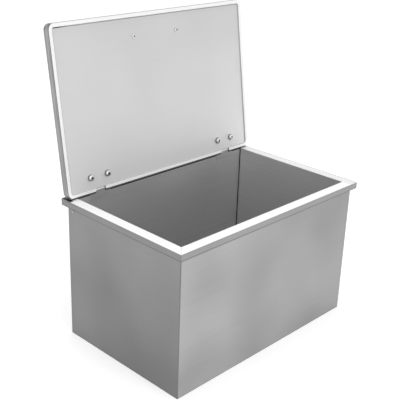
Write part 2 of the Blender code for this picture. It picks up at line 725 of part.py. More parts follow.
def lid_leaves(axis):
    """The moving leaves: a plate on the liner inside the lid, with the two outer knuckles.

    The plate bends up to the pin's level, and the knuckle's curl starts there.
    """
    plate = LINER_HIGH + SEAT_GAP + HINGE_STRIP / 2
    path = [(HINGE_SCREW_Y - LEAF_BEYOND_SCREW, plate)]
    path += arc(plate - CURL_RADIUS, 0, -plate, -90, 0, 3)
    path += arc(0, 0, CURL_RADIUS, 180, -60, 14)[1:]
    inner = MIDDLE_KNUCKLE_HALF + KNUCKLE_GAP
    for side, sign in SIDES.items():
        centre = HINGE_X * sign
        name = f"hinge_lid_leaf_{side}"
        leaf = strip_sheet(path, name, axis, (centre, 0, 0))
        gap = bmesh.new()
        box(gap, (centre - inner, KNUCKLE_FRONT, -LID_THICKNESS),
            (centre + inner, LID_BACK, LID_THICKNESS))
        cut(leaf, gap, f"knuckle_gap_cutter_{side}", axis)
        cut(leaf, hinge_screw_holes(), f"leaf_hole_cutter_{side}", axis)


def hinge_pins(axis):
    """A plain pin through the three knuckles of each hinge."""
    length = 2 * (LEAF_HALF + PIN_OVERRUN)
    for side, sign in SIDES.items():
        centre = HINGE_X * sign
        name = f"hinge_pin_{side}"
        bm = bmesh.new()
        bmesh.ops.create_cone(bm, cap_ends=True, segments=24, radius1=PIN_RADIUS,
                              radius2=PIN_RADIUS, depth=length,
                              matrix=Matrix.Rotation(math.radians(90), 4, "Y"))
        place(name, mesh_from(bm, name), PARTS, POLISHED, axis, location=(centre, 0, 0))


def hinge_fasteners(axis):
    """A screw, washer and nut at each end of each leaf, with the heads on the liner's face."""
    washer_high = LINER_LOW - SEAT_GAP
    washer_low = washer_high - WASHER_THICKNESS
    nut_low = LINER_HIGH + 2 * SEAT_GAP + HINGE_STRIP
    nut_high = nut_low + NUT_HEIGHT
    hole = HINGE_SCREW_RADIUS + SEAT_GAP
    spots = hinge_screw_places()

    ring = [(WASHER_RADIUS, washer_high), (WASHER_RADIUS, washer_low),
            (hole, washer_low), (hole, washer_high)]
    washer = turned("hinge_washer", ring, closed=True, segments=24)
    repeated("hinge_washer", washer, POLISHED, spots, axis)

    end = nut_high + HINGE_SCREW_END
    seat = washer_low - SEAT_GAP
    profile = [(0, end), (HINGE_SCREW_RADIUS, end), (HINGE_SCREW_RADIUS, seat)]
    profile += pan_head(HINGE_SCREW_HEAD_RADIUS, HINGE_SCREW_HEAD_HEIGHT, seat)
    screw = turned("hinge_screw", profile, closed=False, segments=16)
    repeated("hinge_screw", screw, POLISHED, spots, axis)

    bm = bmesh.new()
    cylinder(bm, NUT_RADIUS, (0, 0, nut_low), (0, 0, nut_high), segments=6)
    nut = mesh_from(bm, "hinge_nut")
    for made in repeated("hinge_nut", nut, POLISHED, spots, axis):
        cut(made, hinge_screw_holes(), f"{made.name}_hole_cutter", axis)


clear_scene()
PARTS = collection("drop_in_ice_bin")
CUTTERS = collection("cutters")
BRUSHED = material("brushed_stainless", (0.56, 0.56, 0.56), 0.34, 1.0)
POLISHED = material("polished_stainless", (0.62, 0.62, 0.62), 0.22, 1.0)
RIVET_METAL = material("rivet_stainless", (0.58, 0.58, 0.58), 0.30, 1.0)
FOAM = material("white_foam", (0.86, 0.85, 0.80), 0.90, 0.0)
RUBBER = material("black_rubber", (0.03, 0.03, 0.03), 0.75, 0.0)

inner_tank()
outer_casing()
casing_rivets()
base_pan()
insulation()
drain_body()
drain_strainer()
drain_seals()
drain_plug()
LID_AXIS = lid_axis()
lid_skin(LID_AXIS)
lid_liner(LID_AXIS)
lid_foam(LID_AXIS)
lid_handle(LID_AXIS)
handle_screws(LID_AXIS)
tank_leaves()
lid_leaves(LID_AXIS)
hinge_pins(LID_AXIS)
hinge_fasteners(LID_AXIS)
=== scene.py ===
import json
import math

import bmesh
import bpy
from mathutils import Matrix, Vector


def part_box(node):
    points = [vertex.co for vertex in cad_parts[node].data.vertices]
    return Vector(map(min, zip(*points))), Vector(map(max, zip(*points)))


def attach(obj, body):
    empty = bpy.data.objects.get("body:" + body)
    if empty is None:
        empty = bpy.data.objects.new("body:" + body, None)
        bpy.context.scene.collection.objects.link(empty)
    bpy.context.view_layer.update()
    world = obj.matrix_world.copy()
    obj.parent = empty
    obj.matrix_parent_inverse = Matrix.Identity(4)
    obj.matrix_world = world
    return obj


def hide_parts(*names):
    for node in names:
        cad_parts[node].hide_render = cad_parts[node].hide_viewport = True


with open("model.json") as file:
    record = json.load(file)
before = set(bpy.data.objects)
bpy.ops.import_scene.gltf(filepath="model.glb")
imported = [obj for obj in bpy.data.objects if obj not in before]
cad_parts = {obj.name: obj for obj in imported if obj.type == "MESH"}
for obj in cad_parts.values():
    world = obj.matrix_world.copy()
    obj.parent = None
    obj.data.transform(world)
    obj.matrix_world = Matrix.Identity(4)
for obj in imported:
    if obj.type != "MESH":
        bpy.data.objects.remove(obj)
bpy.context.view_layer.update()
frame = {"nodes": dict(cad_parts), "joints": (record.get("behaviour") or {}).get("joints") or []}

scene = bpy.context.scene
scene.view_settings.view_transform = "Standard"


# Camera
# It stands off the bin's left front corner, higher than the open lid, and looks down into the tank.
# The lens is a long one, so the box's upright edges stay nearly parallel.

CAMERA_PLACE = Vector((-1.1383, -1.0420, 0.9188))
CAMERA_HEADING = math.radians(-46.378)
CAMERA_PITCH = math.radians(90 - 22.407)
CAMERA_ROLL = math.radians(2.049)
CAMERA_LENS_MM = 72.315
CAMERA_SENSOR_MM = 36
CAMERA_NEAR = 0.05
CAMERA_FAR = 60

camera_data = bpy.data.cameras.new("studio_camera")
camera_data.lens = CAMERA_LENS_MM
camera_data.sensor_width = CAMERA_SENSOR_MM
camera_data.clip_start = CAMERA_NEAR
camera_data.clip_end = CAMERA_FAR
camera = bpy.data.objects.new("studio_camera", camera_data)
camera.matrix_world = (
    Matrix.Translation(CAMERA_PLACE)
    @ Matrix.Rotation(CAMERA_HEADING, 4, "Z")
    @ Matrix.Rotation(CAMERA_PITCH, 4, "X")
    @ Matrix.Rotation(CAMERA_ROLL, 4, "Z")
)
scene.collection.objects.link(camera)
scene.camera = camera


# Studio
# A white seamless floor under an even white surround. A soft box straight in front lights the long
# front and the lid's inner panel, and one overhead lights the rim's flat top and the tank.

FLOOR_RADIUS = 14
FLOOR_DROP = 0.0002
FLOOR_SIDES = 64
FLOOR_COLOUR = "#F4F4F4"
FLOOR_GLOW = 0.37
FLOOR_GLOW_IN_METAL = 0.66
FIBRE_SIZE = 0.33
SURROUND_COLOUR = "#FFFFFF"
SURROUND_LEVEL = 0.66
AIM = Vector((0, 0, 0.30))
FRONT_BOX_PLACE = Vector((-0.2, -3.3, 1.2))
FRONT_BOX_SIZE = 1.8
FRONT_BOX_WATTS = 26
OVERHEAD_BOX_PLACE = Vector((0.1, 0.4, 3.0))
OVERHEAD_BOX_SIZE = 1.6
OVERHEAD_BOX_WATTS = 26


def linear(hex_colour):
    """Turn an sRGB hex colour into the linear colour that a shader takes."""
    shares = [int(hex_colour[place:place + 2], 16) / 255 for place in (1, 3, 5)]
    return (*(s / 12.92 if s <= 0.04045 else ((s + 0.055) / 1.055) ** 2.4 for s in shares), 1.0)


def add(tree, kind, inputs=None, **settings):
    """Add a node to a tree, with its settings, and a link, a list of links or a value per input."""
    node = tree.nodes.new(kind)
    for name, value in settings.items():
        setattr(node, name, value)
    for name, value in (inputs or {}).items():
        named = [socket for socket in node.inputs if socket.name == name and socket.enabled]
        socket = node.inputs[name] if isinstance(name, int) else named[0]
        for one in value if isinstance(value, list) else [value]:
            if isinstance(one, bpy.types.Node):
                one = result(one)
            if isinstance(one, bpy.types.NodeSocket):
                tree.links.new(one, socket)
            else:
                socket.default_value = one
    return node


def result(node):
    """The first output of a node that is in use."""
    return next(socket for socket in node.outputs if socket.enabled)


def open_material(name):
    """Start a material with an empty node tree."""
    made = bpy.data.materials.new(name)
    made.use_nodes = True
    made.node_tree.nodes.clear()
    return made


def level_by_ray(tree, matt, eye, metal):
    """A strength for rays from matt surfaces, from the camera, and from metal and glass."""
    ray = add(tree, "ShaderNodeLightPath").outputs
    seen = add(tree, "ShaderNodeMix", {"Factor": ray["Is Camera Ray"], "A": matt, "B": eye})
    shiny = add(tree, "ShaderNodeMath", {0: ray["Is Glossy Ray"], 1: ray["Is Transmission Ray"]},
                operation="MAXIMUM")
    return add(tree, "ShaderNodeMix", {"Factor": shiny, "A": result(seen), "B": metal})


def seamless_paper():
    """Matt white paper: it takes the bin's shadow, with a little glow so that it reads white."""
    made = open_material("seamless_paper")
    tree = made.node_tree
    place = add(tree, "ShaderNodeTexCoord").outputs["Object"]
    fibre = add(tree, "ShaderNodeTexNoise", {"Vector": place, "Scale": 1 / FIBRE_SIZE,
                                             "Detail": 2.0})
    tone = add(tree, "ShaderNodeMapRange", {"Value": fibre, "To Min": 0.985, "To Max": 1.0})
    paper = add(tree, "ShaderNodeHueSaturation", {"Color": linear(FLOOR_COLOUR), "Value": tone})
    matt = add(tree, "ShaderNodeBsdfDiffuse", {"Color": paper, "Roughness": 0.9})
    level = level_by_ray(tree, 0.0, FLOOR_GLOW, FLOOR_GLOW_IN_METAL)
    glow = add(tree, "ShaderNodeEmission", {"Color": linear(SURROUND_COLOUR), "Strength": level})
    both = add(tree, "ShaderNodeAddShader", {0: matt, 1: glow})
    add(tree, "ShaderNodeOutputMaterial", {"Surface": both})
    return made


def studio_surround():
    """An even white surround: full white to the eye and to metal, softer on matt surfaces."""
    world = bpy.data.worlds.new("studio_surround")
    world.use_nodes = True
    tree = world.node_tree
    tree.nodes.clear()
    level = level_by_ray(tree, SURROUND_LEVEL, 1.0, 1.0)
    light = add(tree, "ShaderNodeBackground", {"Color": linear(SURROUND_COLOUR),
                                               "Strength": level})
    add(tree, "ShaderNodeOutputWorld", {"Surface": light})
    scene.world = world


def soft_box(name, place, size, watts):
    """A square lamp that faces the bin and isn't itself in the picture."""
    lamp = bpy.data.lights.new(name, "AREA")
    lamp.shape = "SQUARE"
    lamp.size = size
    lamp.energy = watts
    holder = bpy.data.objects.new(name, lamp)
    holder.location = place
    holder.rotation_euler = (AIM - place).to_track_quat("-Z", "Y").to_euler()
    holder.visible_camera = False
    scene.collection.objects.link(holder)


def mesh_from(bm, name):
    """Turn a bmesh into a mesh."""
    mesh = bpy.data.meshes.new(name)
    bm.to_mesh(mesh)
    bm.free()
    return mesh


def show(name, mesh):
    """Put a mesh in the scene as an object at the origin."""
    made = bpy.data.objects.new(name, mesh)
    scene.collection.objects.link(made)
    return made


studio_surround()
soft_box("front_soft_box", FRONT_BOX_PLACE, FRONT_BOX_SIZE, FRONT_BOX_WATTS)
soft_box("overhead_soft_box", OVERHEAD_BOX_PLACE, OVERHEAD_BOX_SIZE, OVERHEAD_BOX_WATTS)

floor_disc = bmesh.new()
bmesh.ops.create_circle(floor_disc, cap_ends=True, segments=FLOOR_SIDES, radius=FLOOR_RADIUS,
                        matrix=Matrix.Translation((0, 0, -FLOOR_DROP)))
floor = show("floor", mesh_from(floor_disc, "floor"))
floor.data.materials.append(seamless_paper())


# Tank and rim
# One shell of 1.0 mm austenitic stainless sheet: the wet tank, the flat strip round its mouth and
# the skirt. The walls keep a brushed finish and the strip is buffed, its near-white colour a
# painted highlight; the skirt is toned darker. Painted shade darkens the tank's floor, the skirt's
# ends and foot, the strip's right side and far edge, the tank's inside corners, a line at the top
# of the back wall and a patch of the strip beside the lid's left heel.

RIM_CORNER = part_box("inner_tank")[1]
MOUTH_HALF_X = 0.242
MOUTH_HALF_Y = 0.147
TANK_STEEL = ("#EFEFEF", "#E3E3E3", 0.34, 0.46)
# Painted shade: the tank's floor is toned darker than its walls.
TANK_FLOOR_SHADE = ("#A4A4A4", "#8E8E8E", 0.50)
TANK_FLOOR_TOP = 0.0305
SKIRT = ("#929292", "#868686", 0.42)
# Painted shade: the skirt's ends are darker than its front and back.
SKIRT_END_SHADE = ("#848484", "#777777", 0.44)
# Painted shade: a dark line along the skirt's lower edge.
SKIRT_FOOT_SHADE = ("#565656", 0.42)
# Painted highlight: the buffed strip and hem are near white and barely metallic.
BUFFED_WITH_PAINTED_GLARE = ("#FFFFFF", "#FAFAFA", 0.50)
PAINTED_GLARE_METALLIC = 0.10
# Painted shade: the strip's right side is a little greyer, and its far right edge grey.
RIM_RIGHT_SHADE = ("#ECECEC", 0.50)
RIM_EDGE_SHADE = ("#808080", 0.45)
MITRE = ("#DCDCDC", 0.50)
MITRE_HALF_WIDTH = 0.0004
# Painted shade: a dark line down each inside corner of the tank.
CORNER_SHADE = ("#2C2C2C", 0.50)
CORNER_WIDTH = 0.0022
# Painted shadow: a dark line under the lid's heel and a patch beside its left heel.
HEEL_SHADOW = ("#262626", 0.60)
HEEL_SHADOW_SIDE = 0.2565
HEEL_SHADOW_FRONT = 0.1410
SKIRT_HEIGHT = 0.0145
FOLD = 0.0015
SHEET_DEPTH = 0.0003
HAIRLINE_WIDTH = 0.0008
HAIRLINE_LENGTH = 0.060
STREAK_WIDTH = 0.005
STREAK_LENGTH = 0.400
CLOUD_SIZE = 0.17
HAIRLINE_DEPTH = 0.00002
SMOOTH_BELOW = math.radians(31)
ROUNDING_STEPS = 3
WELD_DISTANCE = 0.00001
FLAT_WITHIN = math.radians(0.5)


def brushed_steel(name, bright, dull, smooth, rough, grain=0.45, ends=None, place=None):
    """Brushed stainless sheet, which gives a soft silky glare drawn out along its hairlines.

    The real hairlines are 0.1 mm apart and are drawn 0.8 mm apart so that they show. They run along
    X, and on the ends along Y. ends gives the half length past which an end starts, or both half
    sizes of a box whose strips meet in mitres. place is the frame of a sheet that stands turned.
    smooth and rough are the roughness of its bright and of its dull places.
    """
    made = open_material(name)
    tree = made.node_tree
    sheet = own_place(tree, place)
    axes = add(tree, "ShaderNodeSeparateXYZ", {"Vector": sheet}).outputs
    along = axes["X"]
    across = axes["Y"]
    if ends:
        beyond = [*past_box(tree, axes, ends), 0.0]
        side = add(tree, "ShaderNodeMath", {0: beyond[0], 1: beyond[1]}, operation="GREATER_THAN")
        along = add(tree, "ShaderNodeMix", {"Factor": side, "A": axes["X"], "B": axes["Y"]})
        across = add(tree, "ShaderNodeMix", {"Factor": side, "A": axes["Y"], "B": axes["X"]})
    down = add(tree, "ShaderNodeMath", {0: across, 1: axes["Z"]}, operation="ADD")
    unrolled = add(tree, "ShaderNodeCombineXYZ", {"X": along, "Y": down})
    layers = []
    for length, width in ((HAIRLINE_LENGTH, HAIRLINE_WIDTH), (STREAK_LENGTH, STREAK_WIDTH)):
        drawn = add(tree, "ShaderNodeMapping", {"Vector": unrolled,
                                                "Scale": (1 / length, 1 / width, 1)})
        layers.append(add(tree, "ShaderNodeTexNoise", {"Vector": drawn, "Scale": 1.0,
                                                       "Detail": 2.0}, noise_dimensions="2D"))
    cloud = add(tree, "ShaderNodeTexNoise", {"Vector": sheet, "Scale": 1 / CLOUD_SIZE,
                                             "Detail": 1.0, "Roughness": 0.4})
    lines = add(tree, "ShaderNodeMix", {"Factor": 0.5, "A": result(layers[0]),
                                        "B": result(layers[1])})
    tone = add(tree, "ShaderNodeMix", {"Factor": grain, "A": result(cloud), "B": result(lines)})
    spread = add(tree, "ShaderNodeMapRange", {"Value": tone, "From Min": 0.35, "From Max": 0.65})
    spread.name = "spread"
    steel = add(tree, "ShaderNodeMix", {"Factor": spread, "A": linear(dull),
                                        "B": linear(bright)}, data_type="RGBA")
    haze = add(tree, "ShaderNodeMapRange", {"Value": spread, "To Min": rough, "To Max": smooth})
    hairs = add(tree, "ShaderNodeBump", {"Height": layers[0], "Strength": 0.5,
                                         "Distance": HAIRLINE_DEPTH})
    shader = add(tree, "ShaderNodeBsdfPrincipled", {
        "Base Color": steel, "Roughness": haze, "Metallic": 1.0, "Normal": hairs})
    shader.name = "steel"
    add(tree, "ShaderNodeOutputMaterial", {"Surface": shader})
    return made


def past_box(tree, axes, halves):
    """How far a place lies past a box about the origin, along X and along Y."""
    beyond = []
    for axis, half in zip("XY", halves):
        size = add(tree, "ShaderNodeMath", {0: axes[axis]}, operation="ABSOLUTE")
        beyond.append(add(tree, "ShaderNodeMath", {0: size, 1: half}, operation="SUBTRACT"))
    return beyond


def zone(tree, *limits):
    """Where every limit holds, from 0 to 1. A limit is a value, its start and where it is full."""
    whole = None
    for value, start, full in limits:
        part = add(tree, "ShaderNodeMapRange", {"Value": value, "From Min": start,
                                                "From Max": full})
        if whole:
            part = add(tree, "ShaderNodeMath", {0: whole, 1: part}, operation="MULTIPLY")
        whole = part
    return whole


def finish_over(made, finish, *limits, metallic=None):
    """Give the part of a brushed sheet where every limit holds another finish, and return its zone.

    A finish is one tone, or a bright and a dull one, and then its roughness.
    """
    tree = made.node_tree
    shader = tree.nodes["steel"]
    amount = zone(tree, *limits)
    *tones, roughness = finish
    other = add(tree, "ShaderNodeMix", {"Factor": tree.nodes["spread"], "A": linear(tones[-1]),
                                        "B": linear(tones[0])}, data_type="RGBA")
    changes = [("Base Color", other, "RGBA"), ("Roughness", roughness, "FLOAT")]
    if metallic is not None:
        changes.append(("Metallic", metallic, "FLOAT"))
    for name, value, kind in changes:
        socket = shader.inputs[name]
        before = socket.links[0].from_socket if socket.links else socket.default_value
        over = add(tree, "ShaderNodeMix", {"Factor": amount, "A": before, "B": value},
                   data_type=kind)
        tree.links.new(result(over), socket)
    return amount


def own_place(tree, place=None):
    """A spot on the piece in its own frame, or in the frame that place gives."""
    spot = add(tree, "ShaderNodeTexCoord").outputs["Object"]
    if place is None:
        return spot
    inverse = place.inverted()
    return add(tree, "ShaderNodeMapping", {"Vector": spot, "Location": inverse.to_translation(),
                                           "Rotation": inverse.to_euler()})


def own_axes(tree, place=None):
    """The X, Y and Z of a spot on the piece."""
    return add(tree, "ShaderNodeSeparateXYZ", {"Vector": own_place(tree, place)}).outputs


def settled(rough, body, finish, nodes):
    """Turn an object with modifiers into a plain piece that rides on a body and replaces nodes."""
    graph = bpy.context.evaluated_depsgraph_get()
    mesh = bpy.data.meshes.new_from_object(rough.evaluated_get(graph), depsgraph=graph)
    name = rough.name
    bpy.data.objects.remove(rough, do_unlink=True)
    mesh.name = name
    mesh.materials.clear()
    mesh.materials.append(finish)
    return fitted(show(name, mesh), body, nodes)


def fitted(piece, body, nodes=()):
    """Let a finished piece ride on its body and stand for its CAD nodes."""
    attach(piece, body)
    if nodes:
        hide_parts(*nodes)
    return piece


def round_edges(piece, radius):
    """Round off every sharp edge of a piece."""
    edges = piece.modifiers.new("rounded_edges", "BEVEL")
    edges.width = radius
    edges.segments = ROUNDING_STEPS
    edges.limit_method = "ANGLE"
    edges.angle_limit = SMOOTH_BELOW


def welded_copy(node, name):
    """A copy of a CAD node in its place, with its facets joined into whole flat faces."""
    welded = bmesh.new()
    welded.from_mesh(frame["nodes"][node].data)
    bmesh.ops.remove_doubles(welded, verts=welded.verts, dist=WELD_DISTANCE)
    bmesh.ops.dissolve_limit(welded, angle_limit=FLAT_WITHIN, verts=welded.verts,
                             edges=welded.edges)
    mesh = mesh_from(welded, name)
    if "custom_normal" in mesh.attributes:
        mesh.attributes.remove(mesh.attributes["custom_normal"])
    return show(name, mesh)


def dressed(node, name, body, finish, rounding=0.0):
    """Stand a smoothly shaded copy of a CAD node in its place, with its edges rounded off."""
    rough = welded_copy(node, name)
    rough.data.shade_smooth()
    rough.data.set_sharp_from_angle(angle=SMOOTH_BELOW)
    if rounding:
        round_edges(rough, rounding)
    flats = rough.modifiers.new("flats", "WEIGHTED_NORMAL")
    flats.keep_sharp = True
    return settled(rough, body, finish, [node])


def tank_sheet():
    """The tank's steel: brushed walls, a buffed strip with ground mitre welds, and a dull skirt.

    The strip's near-white colour is a painted highlight. Painted shade darkens the tank's floor,
    the skirt's ends and foot, the strip's right side and far edge, the tank's inside corners, a
    line at the top of the back wall and a patch of the strip beside the lid's left heel.
    """
    made = brushed_steel("brushed_austenitic_sheet", *TANK_STEEL,
                         ends=(MOUTH_HALF_X, MOUTH_HALF_Y))
    tree = made.node_tree
    axes = own_axes(tree)
    # Painted shade: the tank's floor is toned darker than its walls.
    finish_over(made, TANK_FLOOR_SHADE, (axes["Z"], TANK_FLOOR_TOP + FOLD, TANK_FLOOR_TOP))
    past_rim = past_box(tree, axes, RIM_CORNER.xy)
    furthest = add(tree, "ShaderNodeMath", {0: past_rim[0], 1: past_rim[1]}, operation="MAXIMUM")
    outer = (furthest, -FOLD, SHEET_DEPTH - FOLD)
    finish_over(made, SKIRT, outer)
    # Painted shade: the skirt's ends are darker than its front and back.
    finish_over(made, SKIRT_END_SHADE, outer, (past_rim[0], -FOLD, SHEET_DEPTH - FOLD))
    skirt_foot = RIM_CORNER.z - SKIRT_HEIGHT
    foot = (axes["Z"], skirt_foot + 2 * FOLD, skirt_foot + FOLD / 2)
    # Painted shade: a dark line along the skirt's lower edge.
    finish_over(made, SKIRT_FOOT_SHADE, outer, foot)
    top = (axes["Z"], RIM_CORNER.z - FOLD / 2, RIM_CORNER.z - FOLD / 6)
    # Painted highlight: the strip's flat top is near white and barely metallic.
    finish_over(made, BUFFED_WITH_PAINTED_GLARE, top, metallic=PAINTED_GLARE_METALLIC)
    # Painted shade: the strip's right side is a little greyer, and its far right edge grey.
    finish_over(made, RIM_RIGHT_SHADE, top, (axes["X"], MOUTH_HALF_X - FOLD, MOUTH_HALF_X))
    far_edge = (axes["X"], RIM_CORNER.x - 2.5 * FOLD, RIM_CORNER.x - 1.5 * FOLD)
    finish_over(made, RIM_EDGE_SHADE, top, far_edge)
    corner = past_box(tree, axes, (MOUTH_HALF_X, MOUTH_HALF_Y))
    apart = add(tree, "ShaderNodeMath", {0: corner[0], 1: corner[1]}, operation="SUBTRACT")
    size = add(tree, "ShaderNodeMath", {0: apart}, operation="ABSOLUTE")
    finish_over(made, MITRE, top, (size, 2 * MITRE_HALF_WIDTH, MITRE_HALF_WIDTH))
    # Painted shade: a dark line down each inside corner of the tank.
    corner_shade_x = (corner[0], -CORNER_WIDTH, -CORNER_WIDTH / 2)
    corner_shade_y = (corner[1], -CORNER_WIDTH, -CORNER_WIDTH / 2)
    below_rim = (axes["Z"], RIM_CORNER.z - FOLD, RIM_CORNER.z - 2 * FOLD)
    inside = (furthest, -SHEET_DEPTH - FOLD, -2 * FOLD)
    finish_over(made, CORNER_SHADE, corner_shade_x, corner_shade_y, below_rim, inside)
    # Painted shadow: a dark line at the top of the back wall, under the lid's heel.
    back_wall = (axes["Y"], MOUTH_HALF_Y - FOLD / 2, MOUTH_HALF_Y - FOLD / 4)
    back_strip = (axes["Y"], MOUTH_HALF_Y + FOLD, MOUTH_HALF_Y + FOLD / 2)
    heel_shadow_line = (axes["Z"], RIM_CORNER.z - 1.6 * FOLD, RIM_CORNER.z - 1.2 * FOLD)
    finish_over(made, HEEL_SHADOW, back_wall, back_strip, heel_shadow_line)
    # Painted shadow: a dark patch on the strip beside the lid's left heel.
    heel_shadow_x = (axes["X"], FOLD / 3 - HEEL_SHADOW_SIDE, -HEEL_SHADOW_SIDE)
    heel_shadow_y = (axes["Y"], HEEL_SHADOW_FRONT - FOLD / 3, HEEL_SHADOW_FRONT)
    finish_over(made, HEEL_SHADOW, top, heel_shadow_x, heel_shadow_y)
    return made


dressed("inner_tank", "tank_and_rim", "bin", tank_sheet())


# Casing and base pan
# One strip of 0.8 mm ferritic stainless wrapped round four sides, a duller steel than the tank's,
# lapped and spot welded up the middle of the back. The base pan's flange is welded inside its foot.

CASING_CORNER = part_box("outer_casing")[1]
CASING_STEEL = ("#A4A4A4", "#969696", 0.44, 0.52)
# Painted shade: the casing grows darker towards its right-hand end.
CASING_FAR_SHADE = ("#949494", "#888888", 0.48)
# Painted shade: the casing's ends are darker than its front and back, and darker still low down.
CASING_END_SHADE = ("#888888", "#7C7C7C", 0.48)
CASING_LOW_END_SHADE = ("#7E7E7E", "#727272", 0.48)
# Painted shade: a dark line down each of the casing's upright bends.
BEND_SHADE_LINE = ("#707070", 0.42)
OVERHANG_SHADE = ("#747474", 0.48)
OVERHANG_SHADE_TOP = 0.2900
OVERHANG_SHADE_FOOT = 0.2850
BEND = 0.0022
SEAM = ("#5C5C5C", 0.50)
SEAM_HALF_WIDTH = 0.0005
SPOT_WELD = ("#7E7A74", 0.38)
SPOT_WELD_PITCH = 0.038
SPOT_WELD_RADIUS = 0.0028
SPOT_WELD_INSET = 0.009
SPOT_WELD_DEPTH = 0.0002


def casing_sheet():
    """The casing's dull steel: darker ends, a shaded line under the rim, the lap and its welds.

    The darker ends, darker again low down, the dark bends and the darkening towards the right
    are painted shade.
    """
    made = brushed_steel("dull_ferritic_sheet", *CASING_STEEL, grain=0.18,
                         ends=(MOUTH_HALF_X, MOUTH_HALF_Y))
    tree = made.node_tree
    axes = own_axes(tree)
    # Painted shade: the casing grows darker towards its right-hand end.
    finish_over(made, CASING_FAR_SHADE, (axes["X"], -CASING_CORNER.x, CASING_CORNER.x))
    past = past_box(tree, axes, CASING_CORNER.xy)
    # Painted shade: the ends are darker, and darker again towards their foot.
    ends = (past[0], -BEND * 0.8, -BEND * 0.2)
    finish_over(made, CASING_END_SHADE, ends)
    low = (axes["Z"], CASING_CORNER.z * 0.9, CASING_CORNER.z * 0.5)
    finish_over(made, CASING_LOW_END_SHADE, ends, low)
    # Painted shade: a dark line down each of the casing's upright bends.
    bend_front = (past[1], -BEND, -BEND * 0.6)
    bend_end = (past[0], -BEND * 0.9, -BEND * 0.5)
    finish_over(made, BEND_SHADE_LINE, bend_front, bend_end)
    finish_over(made, OVERHANG_SHADE, (axes["Z"], OVERHANG_SHADE_FOOT, OVERHANG_SHADE_TOP))
    back = (axes["Y"], CASING_CORNER.y - BEND, CASING_CORNER.y - BEND / 2)
    middle = add(tree, "ShaderNodeMath", {0: axes["X"]}, operation="ABSOLUTE")
    finish_over(made, SEAM, back, (middle, 2 * SEAM_HALF_WIDTH, SEAM_HALF_WIDTH))
    turn = add(tree, "ShaderNodeMath", {0: axes["Z"], 1: SPOT_WELD_PITCH / 2},
               operation="PINGPONG")
    rise = add(tree, "ShaderNodeMath", {0: SPOT_WELD_PITCH / 4, 1: turn}, operation="SUBTRACT")
    inset = add(tree, "ShaderNodeMath", {0: axes["X"], 1: SPOT_WELD_INSET}, operation="SUBTRACT")
    spot = add(tree, "ShaderNodeCombineXYZ", {"X": inset, "Y": rise})
    distance = add(tree, "ShaderNodeVectorMath", {0: spot}, operation="LENGTH").outputs["Value"]
    weld = finish_over(made, SPOT_WELD, back, (distance, SPOT_WELD_RADIUS, SPOT_WELD_RADIUS * 0.6))
    shader = tree.nodes["steel"]
    dents = add(tree, "ShaderNodeBump", {
        "Height": weld, "Strength": 1.0, "Distance": SPOT_WELD_DEPTH,
        "Normal": shader.inputs["Normal"].links[0].from_socket}, invert=True)
    tree.links.new(dents.outputs["Normal"], shader.inputs["Normal"])
    return made


casing_steel = casing_sheet()
dressed("outer_casing", "casing_wrap", "bin", casing_steel)
dressed("base_pan", "base_tray", "bin", casing_steel)


# Casing rivets
# A blind rivet through each end of the casing, high up near the back. It is a low aluminium dome
# with the broken steel mandrel showing in the middle.

RIVET_METAL = ("#B4B4B4", 0.50)
MANDREL_METAL = "#5A5A5A"
RIVET_SHANK_RADIUS = 0.0016
RIVET_GRIP = 0.0016
BORE_SHARE = 0.36
PIN_SHARE = 0.33
PIN_RISE_SHARE = 0.55
RIVET_FULLNESS = 0.7
DOME_SIDES = 32
DOME_RINGS = 24
SHANK_SIDES = 24
GRIT_SIZE = 0.0005
GRIT_DEPTH = 0.00003


def tree_with_sizes(name, sizes):
    """Start a geometry tree with a named input for each size, and return it with its inputs."""
    tree = bpy.data.node_groups.new(name, "GeometryNodeTree")
    tree.interface.new_socket("Geometry", in_out="INPUT", socket_type="NodeSocketGeometry")
    for label in sizes:
        tree.interface.new_socket(label, in_out="INPUT", socket_type="NodeSocketFloat")
    tree.interface.new_socket("Geometry", in_out="OUTPUT", socket_type="NodeSocketGeometry")
    return tree, tree.nodes.new("NodeGroupInput").outputs


def end_tree(tree, copies, finish):
    """End a geometry tree: make its copies real, give them their finish and pass them out."""
    real = add(tree, "GeometryNodeRealizeInstances", {"Geometry": copies})
    coated = add(tree, "GeometryNodeSetMaterial", {"Geometry": real, "Material": finish})
    add(tree, "NodeGroupOutput", {"Geometry": coated})


def grown(name, start, tree, sizes, place=Matrix.Identity(4)):
    """Run a geometry tree over a starting mesh, and keep what it makes as one plain piece."""
    seed = show(name, start)
    step = seed.modifiers.new("growth", "NODES")
    sockets = {item.name: item.identifier for item in tree.interface.items_tree
               if item.in_out == "INPUT"}
    step.node_group = tree
    for label, value in sizes.items():
        step[sockets[label]] = value
    graph = bpy.context.evaluated_depsgraph_get()
    mesh = bpy.data.meshes.new_from_object(seed.evaluated_get(graph), depsgraph=graph)
    seed.modifiers.remove(step)
    bpy.data.objects.remove(seed, do_unlink=True)
    mesh.name = name
    mesh.transform(place)
    mesh.shade_smooth()
    mesh.set_sharp_from_angle(angle=SMOOTH_BELOW)
    return show(name, mesh)


def points_at(name, spots):
    """A mesh of loose points for a geometry tree to start from."""
    mesh = bpy.data.meshes.new(name)
    mesh.from_pydata([tuple(spot) for spot in spots], [], [])
    return mesh


def lifted(tree, shape, height):
    """A shape moved up its own axis."""
    return add(tree, "GeometryNodeTransform", {
        "Geometry": shape, "Translation": add(tree, "ShaderNodeCombineXYZ", {"Z": height})})


